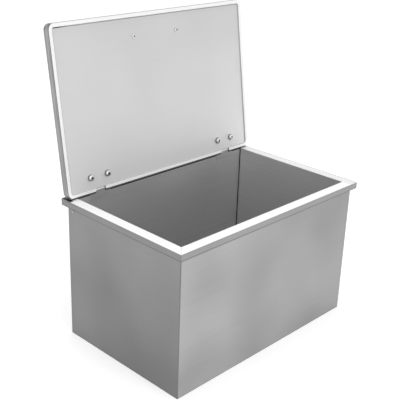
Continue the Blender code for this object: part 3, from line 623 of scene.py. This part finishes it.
def pressed_dome(tree, radius, height, fullness):
    """A dome on a flat seat: a ball with its lower half pressed flat. Less fullness is fuller."""
    ball = add(tree, "GeometryNodeMeshUVSphere", {"Segments": DOME_SIDES, "Rings": DOME_RINGS,
                                                   "Radius": 1.0})
    spot = add(tree, "GeometryNodeInputPosition")
    level = add(tree, "ShaderNodeVectorMath", {0: spot, 1: (1, 1, 0)}, operation="MULTIPLY")
    wide = add(tree, "ShaderNodeVectorMath", {0: level, "Scale": radius}, operation="SCALE")
    up = add(tree, "ShaderNodeSeparateXYZ", {"Vector": spot}).outputs["Z"]
    upper = add(tree, "ShaderNodeMath", {0: up, 1: 0.0}, operation="MAXIMUM")
    swell = add(tree, "ShaderNodeMath", {0: upper, 1: fullness}, operation="POWER")
    rise = add(tree, "ShaderNodeMath", {0: swell, 1: height}, operation="MULTIPLY")
    tall = add(tree, "ShaderNodeCombineXYZ", {"Z": rise})
    pressed = add(tree, "ShaderNodeVectorMath", {0: wide, 1: tall}, operation="ADD")
    return add(tree, "GeometryNodeSetPosition", {"Geometry": ball, "Position": pressed})


def sunk_shank(tree, radius, length):
    """A plain shank that hangs from the seat of a head."""
    shank = add(tree, "GeometryNodeMeshCylinder", {"Vertices": SHANK_SIDES, "Radius": radius,
                                                   "Depth": length})
    drop = add(tree, "ShaderNodeMath", {0: length, 1: -0.5}, operation="MULTIPLY")
    return result(lifted(tree, shank, drop))


def raised_core(tree, shape, height):
    """A shape moved up its own axis, and marked for the darker core of a fastener.

    The core is a rivet's darker mandrel, and painted shade in a rivet's bore or a screw's recess.
    """
    raised = lifted(tree, shape, height)
    return add(tree, "GeometryNodeStoreNamedAttribute", {"Geometry": raised, "Name": "core",
                                                         "Value": 1.0}, data_type="FLOAT",
               domain="FACE")


def turned_metal(name, colour, roughness, core=None):
    """Turned or headed metal: a fine grit from the die, and an open bright glare."""
    made = open_material(name)
    tree = made.node_tree
    place = add(tree, "ShaderNodeTexCoord").outputs["Object"]
    grit = add(tree, "ShaderNodeTexNoise", {"Vector": place, "Scale": 1 / GRIT_SIZE,
                                            "Detail": 2.0})
    haze = add(tree, "ShaderNodeMapRange", {"Value": grit, "To Min": roughness - 0.05,
                                            "To Max": roughness + 0.05})
    tone = add(tree, "ShaderNodeMapRange", {"Value": grit, "To Min": 0.94, "To Max": 1.04})
    metal = add(tree, "ShaderNodeHueSaturation", {"Color": linear(colour), "Value": tone})
    # The core is darker: a rivet's mandrel, and painted shade in bores and recesses.
    if core:
        inside = add(tree, "ShaderNodeAttribute", attribute_name="core").outputs["Fac"]
        metal = add(tree, "ShaderNodeMix", {"Factor": inside, "A": result(metal),
                                            "B": linear(core)}, data_type="RGBA")
    bump = add(tree, "ShaderNodeBump", {"Height": grit, "Strength": 0.4, "Distance": GRIT_DEPTH})
    shader = add(tree, "ShaderNodeBsdfPrincipled", {
        "Base Color": metal, "Roughness": haze, "Metallic": 1.0, "Normal": bump})
    add(tree, "ShaderNodeOutputMaterial", {"Surface": shader})
    return made


def blind_rivet_tree():
    """A domed rivet on each point, facing out along X, with its broken mandrel in the bore."""
    labels = ("Head Radius", "Head Height", "Shank Radius", "Grip")
    tree, size = tree_with_sizes("blind_rivets", labels)
    radius = size["Head Radius"]
    height = size["Head Height"]
    bore_radius = add(tree, "ShaderNodeMath", {0: radius, 1: BORE_SHARE}, operation="MULTIPLY")
    pin_radius = add(tree, "ShaderNodeMath", {0: radius, 1: PIN_SHARE}, operation="MULTIPLY")
    pin_height = add(tree, "ShaderNodeMath", {0: height, 1: PIN_RISE_SHARE}, operation="MULTIPLY")
    dome = pressed_dome(tree, radius, height, RIVET_FULLNESS)
    bore = add(tree, "GeometryNodeMeshCylinder", {"Vertices": SHANK_SIDES, "Radius": bore_radius,
                                                  "Depth": height})
    drilled = add(tree, "GeometryNodeMeshBoolean", {
        "Mesh 1": dome, "Mesh 2": [raised_core(tree, bore, height)]},
        operation="DIFFERENCE", solver="EXACT")
    pin = add(tree, "GeometryNodeMeshCylinder", {"Vertices": SHANK_SIDES, "Radius": pin_radius,
                                                 "Depth": pin_height})
    mandrel = raised_core(tree, pin, pin_height)
    shank = sunk_shank(tree, size["Shank Radius"], size["Grip"])
    parts = [result(drilled), result(mandrel), shank]
    whole = add(tree, "GeometryNodeJoinGeometry", {"Geometry": parts})
    spot = add(tree, "GeometryNodeInputPosition")
    across = add(tree, "ShaderNodeSeparateXYZ", {"Vector": spot}).outputs["X"]
    way = add(tree, "ShaderNodeCombineXYZ", {"X": across})
    outward = add(tree, "FunctionNodeAlignRotationToVector", {"Vector": way}, axis="Z")
    copies = add(tree, "GeometryNodeInstanceOnPoints", {"Points": size["Geometry"],
                                                        "Instance": whole, "Rotation": outward})
    end_tree(tree, copies, turned_metal("aluminium_rivet", *RIVET_METAL, core=MANDREL_METAL))
    return tree


rivet_nodes = ["casing_rivet_left", "casing_rivet_right"]
rivet_seats = []
for node in rivet_nodes:
    low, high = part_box(node)
    middle = (low + high) / 2
    rivet_seats.append((math.copysign(CASING_CORNER.x, middle.x), middle.y, middle.z))
    rivet_radius = (high.z - low.z) / 2
    rivet_rise = max(high.x, -low.x) - CASING_CORNER.x
rivets = grown("casing_rivets", points_at("casing_rivets", rivet_seats), blind_rivet_tree(),
               {"Head Radius": rivet_radius, "Head Height": rivet_rise,
                "Shank Radius": RIVET_SHANK_RADIUS, "Grip": RIVET_GRIP})
fitted(rivets, "bin", rivet_nodes)


# Insulation
# Boards of rigid white bead foam that fill the gap between the tank and the casing, sawn to size,
# so their edges are a little soft and their faces show the beads.

FOAM_COLOUR = "#EFEDE6"
FOAM_GAP_COLOUR = "#D9D6CC"
BEAD_SIZE = 0.004
BEAD_DEPTH = 0.0004
BOARD_EDGE = 0.0012


def bead_foam():
    """Expanded bead foam: matt white closed beads with faint darker joints between them."""
    made = open_material("white_bead_foam")
    tree = made.node_tree
    place = add(tree, "ShaderNodeTexCoord").outputs["Object"]
    beads = add(tree, "ShaderNodeTexVoronoi", {"Vector": place, "Scale": 1 / BEAD_SIZE},
                feature="DISTANCE_TO_EDGE")
    joint = add(tree, "ShaderNodeMapRange", {"Value": beads.outputs["Distance"],
                                             "From Max": 0.10})
    foam = add(tree, "ShaderNodeMix", {"Factor": joint, "A": linear(FOAM_GAP_COLOUR),
                                       "B": linear(FOAM_COLOUR)}, data_type="RGBA")
    bump = add(tree, "ShaderNodeBump", {"Height": joint, "Strength": 0.6, "Distance": BEAD_DEPTH})
    shader = add(tree, "ShaderNodeBsdfPrincipled", {"Base Color": foam, "Roughness": 0.9,
                                                    "Normal": bump})
    add(tree, "ShaderNodeOutputMaterial", {"Surface": shader})
    return made


def foam_board(node, name, body, foam):
    """A sawn board of foam that stands for a CAD board, with its edges softened."""
    board = welded_copy(node, name)
    round_edges(board, BOARD_EDGE)
    piece = settled(board, body, foam, [node])


foam = bead_foam()
for side in ("front", "back", "left", "right", "floor"):
    foam_board(f"insulation_{side}", f"foam_board_{side}", "bin", foam)


# Drain fitting
# A turned stainless drain clamped to the tank's floor: a flanged body with a seat for the plug, a
# round strainer under it, rubber seals above and below the sheet, and a locknut on the tail.

DRAIN_METAL = "#A6A6A6"
RUBBER_COLOUR = "#1E1E1F"
RUBBER_BLOOM = "#343435"
BLOOM_SIZE = 0.012
RUBBER_GRAIN = 0.0006
TURNED_EDGE = 0.0003
SEAL_EDGE = 0.0003
THREAD_PITCH = 0.0018
THREAD_DEPTH = 0.0005
THREAD_LENGTH = 0.0100
THREAD_STEPS = 48
RIDGE_SIDES = 4
OUTLET_RADIUS = 0.0135


def turned_steel():
    """Turned stainless: rings of fine tool marks about the drain's axis catch a fanned glare."""
    made = open_material("turned_stainless")
    tree = made.node_tree
    centre = drain_axis()
    place = add(tree, "ShaderNodeTexCoord").outputs["Object"]
    about = add(tree, "ShaderNodeMapping", {"Vector": place, "Location": -centre})
    axes = add(tree, "ShaderNodeSeparateXYZ", {"Vector": about}).outputs
    level = add(tree, "ShaderNodeCombineXYZ", {"X": axes["X"], "Y": axes["Y"]})
    radius = add(tree, "ShaderNodeVectorMath", {0: level}, operation="LENGTH").outputs["Value"]
    along = add(tree, "ShaderNodeMath", {0: radius, 1: axes["Z"]}, operation="ADD")
    marks = add(tree, "ShaderNodeTexNoise", {"W": along, "Scale": 1 / GRIT_SIZE,
                                             "Detail": 2.0}, noise_dimensions="1D")
    tone = add(tree, "ShaderNodeMapRange", {"Value": marks, "To Min": 0.90, "To Max": 1.05})
    metal = add(tree, "ShaderNodeHueSaturation", {"Color": linear(DRAIN_METAL), "Value": tone})
    bump = add(tree, "ShaderNodeBump", {"Height": marks, "Strength": 0.4, "Distance": GRIT_DEPTH})
    shader = add(tree, "ShaderNodeBsdfPrincipled", {
        "Base Color": metal, "Roughness": 0.26, "Metallic": 1.0, "Normal": bump})
    add(tree, "ShaderNodeOutputMaterial", {"Surface": shader})
    return made


def moulded_rubber():
    """Moulded black rubber: dull, with a grey bloom in patches and a fine mould grain."""
    made = open_material("moulded_black_rubber")
    tree = made.node_tree
    place = add(tree, "ShaderNodeTexCoord").outputs["Object"]
    bloom = add(tree, "ShaderNodeTexNoise", {"Vector": place, "Scale": 1 / BLOOM_SIZE,
                                             "Detail": 3.0})
    grain = add(tree, "ShaderNodeTexNoise", {"Vector": place, "Scale": 1 / RUBBER_GRAIN,
                                             "Detail": 1.0})
    patch = add(tree, "ShaderNodeMapRange", {"Value": bloom, "From Min": 0.45,
                                             "From Max": 0.75})
    rubber = add(tree, "ShaderNodeMix", {"Factor": patch, "A": linear(RUBBER_COLOUR),
                                         "B": linear(RUBBER_BLOOM)}, data_type="RGBA")
    haze = add(tree, "ShaderNodeMapRange", {"Value": bloom, "To Min": 0.5, "To Max": 0.72})
    bump = add(tree, "ShaderNodeBump", {"Height": grain, "Strength": 0.35,
                                        "Distance": GRIT_DEPTH})
    shader = add(tree, "ShaderNodeBsdfPrincipled", {"Base Color": rubber, "Roughness": haze,
                                                    "Normal": bump})
    add(tree, "ShaderNodeOutputMaterial", {"Surface": shader})
    return made


def drain_axis():
    """The foot of the drain's axis."""
    low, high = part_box("drain_body")
    return Vector(((low.x + high.x) / 2, 0, low.z))


def outlet_thread_tree(finish):
    """A female pipe thread: one ridge wound up the inside of the outlet."""
    tree, size = tree_with_sizes("outlet_thread", ("Bore Radius", "Length", "Turns", "Depth"))
    helix = add(tree, "GeometryNodeCurveSpiral", {
        "Resolution": THREAD_STEPS, "Rotations": size["Turns"], "Start Radius": size["Bore Radius"],
        "End Radius": size["Bore Radius"], "Height": size["Length"]})
    ridge = add(tree, "GeometryNodeCurvePrimitiveCircle", {"Resolution": RIDGE_SIDES,
                                                           "Radius": size["Depth"]})
    wound = add(tree, "GeometryNodeCurveToMesh", {"Curve": helix, "Profile Curve": ridge,
                                                  "Fill Caps": True})
    copies = add(tree, "GeometryNodeInstanceOnPoints", {"Points": size["Geometry"],
                                                        "Instance": wound})
    end_tree(tree, copies, finish)
    return tree


drain_steel = turned_steel()
rubber = moulded_rubber()
dressed("drain_body", "drain_flange_and_tail", "bin", drain_steel,
        TURNED_EDGE)
dressed("drain_strainer", "drain_grid", "bin", drain_steel, TURNED_EDGE)
dressed("drain_locknut", "drain_clamp_nut", "bin", drain_steel, TURNED_EDGE)
dressed("drain_gasket", "drain_upper_seal", "bin", rubber, SEAL_EDGE)
dressed("drain_washer", "drain_lower_seal", "bin", rubber, SEAL_EDGE)
thread_foot = drain_axis() + Vector((0, 0, THREAD_PITCH))
thread = grown("drain_outlet_thread", points_at("drain_outlet_thread", [thread_foot]),
               outlet_thread_tree(drain_steel),
               {"Bore Radius": OUTLET_RADIUS, "Length": THREAD_LENGTH,
                "Turns": THREAD_LENGTH / THREAD_PITCH, "Depth": THREAD_DEPTH})
fitted(thread, "bin")


# Drain plug
# A moulded stopper of the same black rubber as the seals. It is pushed into the drain's seat and
# pulled out by its knob.

PLUG_EDGE = 0.0006

dressed("drain_plug", "rubber_stopper", "plug", rubber, PLUG_EDGE)


# Lid pan and inner panel
# The lid's outer pan is 0.8 mm brushed stainless: a flat top, 18 mm walls and a buffed hem with a
# lip turned back to the inner panel. The hem's near-white colour is a painted highlight, and
# painted shade darkens the fold into the hem, most at its foot on the rim, the outer bend and the
# rounded corners. The panel is a plain satin sheet, 2.4 mm behind the hem's face, with painted
# light towards its hinge edge and painted shade along its edges by the hem's lip.

LID_HINGE = next(joint for joint in frame["joints"] if joint["name"] == "lid_hinge")
HINGE_LINE = Vector(LID_HINGE["pos_m"])
LID_ANGLE = math.radians(LID_HINGE["range_deg"][1])
LID_PLACE = Matrix.Translation(HINGE_LINE) @ Matrix.Rotation(-LID_ANGLE, 4, "X")
LID_CLOSED_GAP = 0.0010
LID_THICKNESS = 0.018
LID_MOUTH = RIM_CORNER.z + LID_CLOSED_GAP - HINGE_LINE.z
LID_TOP = LID_MOUTH + LID_THICKNESS
LID_STEEL = ("#A4A4A4", "#929292", 0.36, 0.46)
LID_WALL = ("#B2B2B2", "#6E6E6E", 0.42)
# Painted shade: a dark band along the fold into the hem.
LID_CREASE_SHADE = ("#6C6C6C", 0.44)
LID_LIP = ("#E4E4E4", 0.45)
# Painted shadow: the near-black foot of the hem's fold, where the lid lands on the rim.
LID_FOOT_SHADOW = ("#101010", 0.60)
# Painted shade: the rounded corners darken at the heel, by the hem.
LID_HEEL_SHADE = ("#606060", 0.50)
# Painted shade: the front rounded corners darken softly towards the hem.
LID_TOE_SHADE = ("#505050", 0.50)
# Painted shade: a grey line along the outer bend of the lid's top.
LID_BEND_SHADE = ("#ACACAC", 0.42)
LID_CORNER = 0.0125
HEM_WIDTH = 0.008
PANEL_STEEL = ("#CCCCCC", "#C8C8C8", 0.56, 0.62)
# Painted light: the panel grows lighter towards its hinge edge.
PANEL_LOW_LIGHT = ("#DEDEDE", "#DADADA", 0.60)
PANEL_METALLIC = 0.5
PANEL_HALF = RIM_CORNER.x - HEM_WIDTH
# Painted shade: the panel's edges darken under the hem's lip, most at the top left.
SIDE_LIP_SHADE = ("#B4B4B4", 0.60)
TOP_LIP_SHADOW = ("#9C9C9C", 0.60)
TOP_JOINT_SHADE = ("#303030", 0.60)
JOINT_WIDTH = 0.0012


def lid_points(node):
    """The corners of a CAD node that rides on the lid, in the lid's own frame."""
    return [LID_PLACE.inverted() @ vertex.co for vertex in frame["nodes"][node].data.vertices]


LID_FRONT = min(point.y for point in lid_points("lid_skin"))
LID_BACK = max(point.y for point in lid_points("lid_skin"))
PANEL_FRONT = LID_FRONT + HEM_WIDTH


def lid_sheet():
    """The lid pan's steel: streaky walls, a bright hem, a duller lip and a grey outer bend.

    The hem's near-white colour is a painted highlight. Painted shade darkens the outer bend and the
    hem's fold, most at the foot that lands on the rim and at the rounded corners.
    """
    made = brushed_steel("brushed_lid_sheet", *LID_STEEL, grain=0.6, ends=[RIM_CORNER.x - FOLD],
                         place=LID_PLACE)
    tree = made.node_tree
    axes = own_axes(tree, LID_PLACE)
    reach = add(tree, "ShaderNodeMath", {0: axes["X"]}, operation="ABSOLUTE")
    finish_over(made, LID_WALL, (reach, RIM_CORNER.x - 2 * FOLD, RIM_CORNER.x - FOLD))
    crease = (axes["Z"], LID_MOUTH + 2 * FOLD, LID_MOUTH + FOLD)
    # Painted shade: a dark band along the fold into the hem.
    finish_over(made, LID_CREASE_SHADE, crease)
    hem = (axes["Z"], LID_MOUTH + FOLD / 2, LID_MOUTH + FOLD / 6)
    # Painted highlight: the hem's face is near white and barely metallic.
    finish_over(made, BUFFED_WITH_PAINTED_GLARE, hem, metallic=PAINTED_GLARE_METALLIC)
    inside = (reach, RIM_CORNER.x - FOLD, RIM_CORNER.x - HEM_WIDTH / 2)
    deep = (axes["Z"], LID_MOUTH + FOLD / 3, LID_MOUTH + FOLD * 0.8)
    finish_over(made, LID_LIP, inside, deep, crease)
    # Painted shadow: the near-black foot of the hem's fold, where the lid lands on the rim.
    near_hem = (axes["Z"], LID_MOUTH + 3 * FOLD, LID_MOUTH + 2 * FOLD)
    foot = (axes["Y"], LID_BACK - 1.4 * FOLD, LID_BACK - 0.9 * FOLD)
    finish_over(made, LID_FOOT_SHADOW, near_hem, foot)
    # Painted shade: the rounded corners darken at the heel, by the hem.
    behind_hem = (axes["Z"], LID_MOUTH + FOLD / 3, LID_MOUTH + FOLD)
    heel_corner = (reach, RIM_CORNER.x - LID_CORNER, RIM_CORNER.x - LID_CORNER * 0.7)
    heel = (axes["Y"], LID_BACK - LID_CORNER * 0.7, LID_BACK - LID_CORNER * 0.4)
    finish_over(made, LID_HEEL_SHADE, heel_corner, behind_hem, near_hem, heel)
    # Painted shade: the front rounded corners darken softly towards the hem.
    toe_corner = (reach, RIM_CORNER.x - LID_CORNER, RIM_CORNER.x - LID_CORNER * 0.5)
    toe_band = (axes["Z"], LID_MOUTH + 9 * FOLD, LID_MOUTH + 2 * FOLD)
    toe = (axes["Y"], LID_FRONT + LID_CORNER * 0.6, LID_FRONT + LID_CORNER * 0.1)
    finish_over(made, LID_TOE_SHADE, toe_corner, behind_hem, toe_band, toe)
    # Painted shade: a grey line along the outer bend of the lid's top.
    bend = (axes["Z"], LID_TOP - 1.2 * FOLD, LID_TOP - 0.7 * FOLD)
    below = (axes["Z"], LID_TOP - 0.02 * FOLD, LID_TOP - 0.2 * FOLD)
    finish_over(made, LID_BEND_SHADE, bend, below)
    return made


def panel_sheet():
    """The inner panel's plain satin steel, darker where it meets the hem's lip.

    It is painted lighter towards the hinge edge, and its darker edges by the lip are painted shade.
    """
    made = brushed_steel("satin_panel_sheet", *PANEL_STEEL, grain=0.30, place=LID_PLACE)
    tree = made.node_tree
    tree.nodes["steel"].inputs["Metallic"].default_value = PANEL_METALLIC
    axes = own_axes(tree, LID_PLACE)
    # Painted light: the panel grows lighter towards its hinge edge.
    finish_over(made, PANEL_LOW_LIGHT, (axes["Y"], PANEL_FRONT, LID_BACK))
    reach = add(tree, "ShaderNodeMath", {0: axes["X"]}, operation="ABSOLUTE")
    # Painted shade: the panel's edges darken under the hem's lip, most at the top left.
    finish_over(made, SIDE_LIP_SHADE, (reach, PANEL_HALF - 2 * JOINT_WIDTH, PANEL_HALF - JOINT_WIDTH))
    top = (axes["Y"], PANEL_FRONT + 2 * JOINT_WIDTH, PANEL_FRONT + JOINT_WIDTH)
    finish_over(made, TOP_LIP_SHADOW, top)
    left = (axes["X"], -PANEL_HALF * 0.85, -PANEL_HALF * 0.97)
    finish_over(made, TOP_JOINT_SHADE, top, left)
    return made


dressed("lid_skin", "lid_pan", "lid", lid_sheet())
dressed("lid_liner", "lid_inner_panel", "lid", panel_sheet())
foam_board("lid_foam", "lid_foam_core", "lid", foam)


# Lid handle
# A bow of 10 mm polished stainless bar on the lid's outer face, bent cold at its two shoulders and
# held by a screw up each leg.

HANDLE_METAL = ("#D4D4D4", 0.16)
HANDLE_RADIUS = 0.0048
HANDLE_MARGIN = 0.0002
HANDLE_BEND = 0.013
BEND_STEPS = 16
BAR_SIDES = 40
SEAT_GAP = 0.0003
HANDLE_SEAT = LID_TOP + SEAT_GAP


def lid_spot(node):
    """The middle of a CAD node that rides on the lid, in the lid's own frame."""
    low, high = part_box(node)
    return LID_PLACE.inverted() @ ((low + high) / 2)


def bar_handle_tree(finish):
    """A round bar along the starting line, its corners bent to a radius and its ends closed."""
    tree, size = tree_with_sizes("bar_handle", ("Bar Radius", "Bend Radius"))
    line = add(tree, "GeometryNodeMeshToCurve", {"Mesh": size["Geometry"]})
    bent = add(tree, "GeometryNodeFilletCurve", {"Curve": line, "Count": BEND_STEPS,
                                                 "Radius": size["Bend Radius"]}, mode="POLY")
    ring = add(tree, "GeometryNodeCurvePrimitiveCircle", {"Resolution": BAR_SIDES,
                                                          "Radius": size["Bar Radius"]})
    bar = add(tree, "GeometryNodeCurveToMesh", {"Curve": bent, "Profile Curve": ring,
                                                "Fill Caps": True})
    end_tree(tree, bar, finish)
    return tree


handle_steel = turned_metal("polished_stainless_bar", *HANDLE_METAL)
left_screw = lid_spot("handle_screw_left")
right_screw = lid_spot("handle_screw_right")
crown = max(point.z for point in lid_points("lid_handle")) - HANDLE_RADIUS - HANDLE_MARGIN
handle_line = bpy.data.meshes.new("lid_handle_bar")
handle_line.from_pydata(
    [(left_screw.x, left_screw.y, HANDLE_SEAT), (left_screw.x, left_screw.y, crown),
     (right_screw.x, right_screw.y, crown), (right_screw.x, right_screw.y, HANDLE_SEAT)],
    [(0, 1), (1, 2), (2, 3)], [])
handle = grown("lid_handle_bar", handle_line, bar_handle_tree(handle_steel),
               {"Bar Radius": HANDLE_RADIUS, "Bend Radius": HANDLE_BEND}, LID_PLACE)
fitted(handle, "lid", ["lid_handle"])


# Hinges
# Two rolled three-knuckle hinges of 1.2 mm stainless strip. The fixed leaf is welded inside the
# tank's back wall, and the moving leaf lies inside the lid with its knuckle in a notch of the hem.

LEAF_STEEL = ("#F2F2F2", "#E2E2E2", 0.30, 0.42)
PIN_METAL = ("#D4D4D4", 0.22)
PIN_END = 0.0007

leaf_steel = brushed_steel("rolled_hinge_strip", *LEAF_STEEL, grain=0.9)
pin_steel = turned_metal("drawn_pin_wire", *PIN_METAL)
for side in ("left", "right"):
    dressed(f"hinge_tank_leaf_{side}", f"tank_leaf_{side}", "bin",
            leaf_steel)
    dressed(f"hinge_lid_leaf_{side}", f"lid_leaf_{side}", "lid", leaf_steel)
    dressed(f"hinge_pin_{side}", f"pin_{side}", "lid", pin_steel, PIN_END)


# Lid fasteners
# Pan-head machine screws with cross recesses: an M6 with a washer and nut at each end of each hinge
# leaf, and a small one up each leg of the handle, all driven from the inner panel's side.

SCREW_METAL = ("#D4D4D4", 0.36)
# Painted shade: the washers are toned dark for the shaded sides round the hinge screw heads.
WASHER_SHADE_METAL = ("#707070", 0.50)
RECESS_SHADE = "#262626"
SCREW_FULLNESS = 0.24
RECESS_SHARE = 1.15
RECESS_SLOT_SHARE = 0.32
SCREW_SEED = 4
M6_HEAD_RADIUS = 0.0060
M6_HEAD_HEIGHT = 0.0046
M6_SHANK_RADIUS = 0.0030
SMALL_HEAD_RADIUS = 0.0045
SMALL_HEAD_HEIGHT = 0.0022
SMALL_SHANK_RADIUS = 0.0025
WASHER_THICKNESS = 0.0012
WASHER_ROUND = 0.00025
WASHER_SIDES = 48
NUT_EDGE = 0.00025
WASHER_HOLE = M6_SHANK_RADIUS + SEAT_GAP


def pan_head_screw_tree(finish):
    """A cross-recessed pan-head screw hanging from each point, each turned by its own chance."""
    labels = ("Head Radius", "Head Height", "Shank Radius", "Shank Length")
    tree, size = tree_with_sizes("pan_head_screws", labels)
    radius = size["Head Radius"]
    height = size["Head Height"]
    head = pressed_dome(tree, radius, height, SCREW_FULLNESS)
    width = add(tree, "ShaderNodeMath", {0: radius, 1: RECESS_SHARE}, operation="MULTIPLY")
    slot = add(tree, "ShaderNodeMath", {0: radius, 1: RECESS_SLOT_SHARE}, operation="MULTIPLY")
    arms = []
    for across, along in ((width, slot), (slot, width)):
        block = add(tree, "GeometryNodeMeshCube", {"Size": add(
            tree, "ShaderNodeCombineXYZ", {"X": across, "Y": along, "Z": height})})
        arms.append(result(raised_core(tree, block, height)))
    driven = add(tree, "GeometryNodeMeshBoolean", {"Mesh 1": head, "Mesh 2": arms},
                 operation="DIFFERENCE", solver="EXACT")
    parts = [result(driven), sunk_shank(tree, size["Shank Radius"], size["Shank Length"])]
    whole = add(tree, "GeometryNodeJoinGeometry", {"Geometry": parts})
    chance = add(tree, "FunctionNodeRandomValue", {"Min": 0.0, "Max": math.tau,
                                                   "Seed": SCREW_SEED}, data_type="FLOAT")
    turn = add(tree, "FunctionNodeEulerToRotation", {"Euler": add(
        tree, "ShaderNodeCombineXYZ", {"X": math.pi, "Z": chance})})
    copies = add(tree, "GeometryNodeInstanceOnPoints", {"Points": size["Geometry"],
                                                        "Instance": whole, "Rotation": turn})
    end_tree(tree, copies, finish)
    return tree


def washer_tree(finish):
    """A flat washer with rolled edges round each point."""
    tree, size = tree_with_sizes("plain_washers", ("Middle Radius", "Width", "Thickness"))
    path = add(tree, "GeometryNodeCurvePrimitiveCircle", {"Resolution": WASHER_SIDES,
                                                          "Radius": size["Middle Radius"]})
    section = add(tree, "GeometryNodeCurvePrimitiveQuadrilateral", {
        "Width": size["Width"], "Height": size["Thickness"]})
    rolled = add(tree, "GeometryNodeFilletCurve", {"Curve": section, "Count": ROUNDING_STEPS,
                                                   "Radius": WASHER_ROUND}, mode="POLY")
    ring = add(tree, "GeometryNodeCurveToMesh", {"Curve": path, "Profile Curve": rolled})
    copies = add(tree, "GeometryNodeInstanceOnPoints", {"Points": size["Geometry"],
                                                        "Instance": ring})
    end_tree(tree, copies, finish)
    return tree


corners = [f"{side}_{post}" for side in ("left", "right") for post in ("outer", "inner")]
washer_spots = [lid_spot(f"hinge_washer_{corner}") for corner in corners]
low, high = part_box("hinge_washer_left_outer")
washer_radius = (high.x - low.x) / 2
screw_steel = turned_metal("headed_stainless_screw", *SCREW_METAL, core=RECESS_SHADE)
screw_tree = pan_head_screw_tree(screw_steel)
# The washers' dark tone is painted shade round the hinge screw heads.
washers = grown("hinge_washers", points_at("hinge_washers", washer_spots),
                washer_tree(turned_metal("zinc_washer_painted_dark", *WASHER_SHADE_METAL)),
                {"Middle Radius": (washer_radius + WASHER_HOLE) / 2,
                 "Width": washer_radius - WASHER_HOLE, "Thickness": WASHER_THICKNESS},
                LID_PLACE)
fitted(washers, "lid", [f"hinge_washer_{corner}" for corner in corners])

screw_end = max(point.z for point in lid_points("hinge_screw_left_outer"))
head_drop = Vector((0, 0, WASHER_THICKNESS / 2 + SEAT_GAP))
hinge_seats = [spot - head_drop for spot in washer_spots]
hinge_screws = grown("hinge_screws", points_at("hinge_screws", hinge_seats), screw_tree,
                     {"Head Radius": M6_HEAD_RADIUS, "Head Height": M6_HEAD_HEIGHT,
                      "Shank Radius": M6_SHANK_RADIUS,
                      "Shank Length": screw_end - hinge_seats[0].z}, LID_PLACE)
fitted(hinge_screws, "lid", [f"hinge_screw_{corner}" for corner in corners])
for corner in corners:
    dressed(f"hinge_nut_{corner}", f"nut_{corner}", "lid", screw_steel,
            NUT_EDGE)

handle_ends = [point.z for point in lid_points("handle_screw_left")]
handle_seat = min(handle_ends) + SMALL_HEAD_HEIGHT
handle_seats = [Vector((spot.x, spot.y, handle_seat)) for spot in (left_screw, right_screw)]
handle_screws = grown("handle_screws", points_at("handle_screws", handle_seats), screw_tree,
                      {"Head Radius": SMALL_HEAD_RADIUS, "Head Height": SMALL_HEAD_HEIGHT,
                       "Shank Radius": SMALL_SHANK_RADIUS,
                       "Shank Length": max(handle_ends) - handle_seat}, LID_PLACE)
fitted(handle_screws, "lid", ["handle_screw_left", "handle_screw_right"])
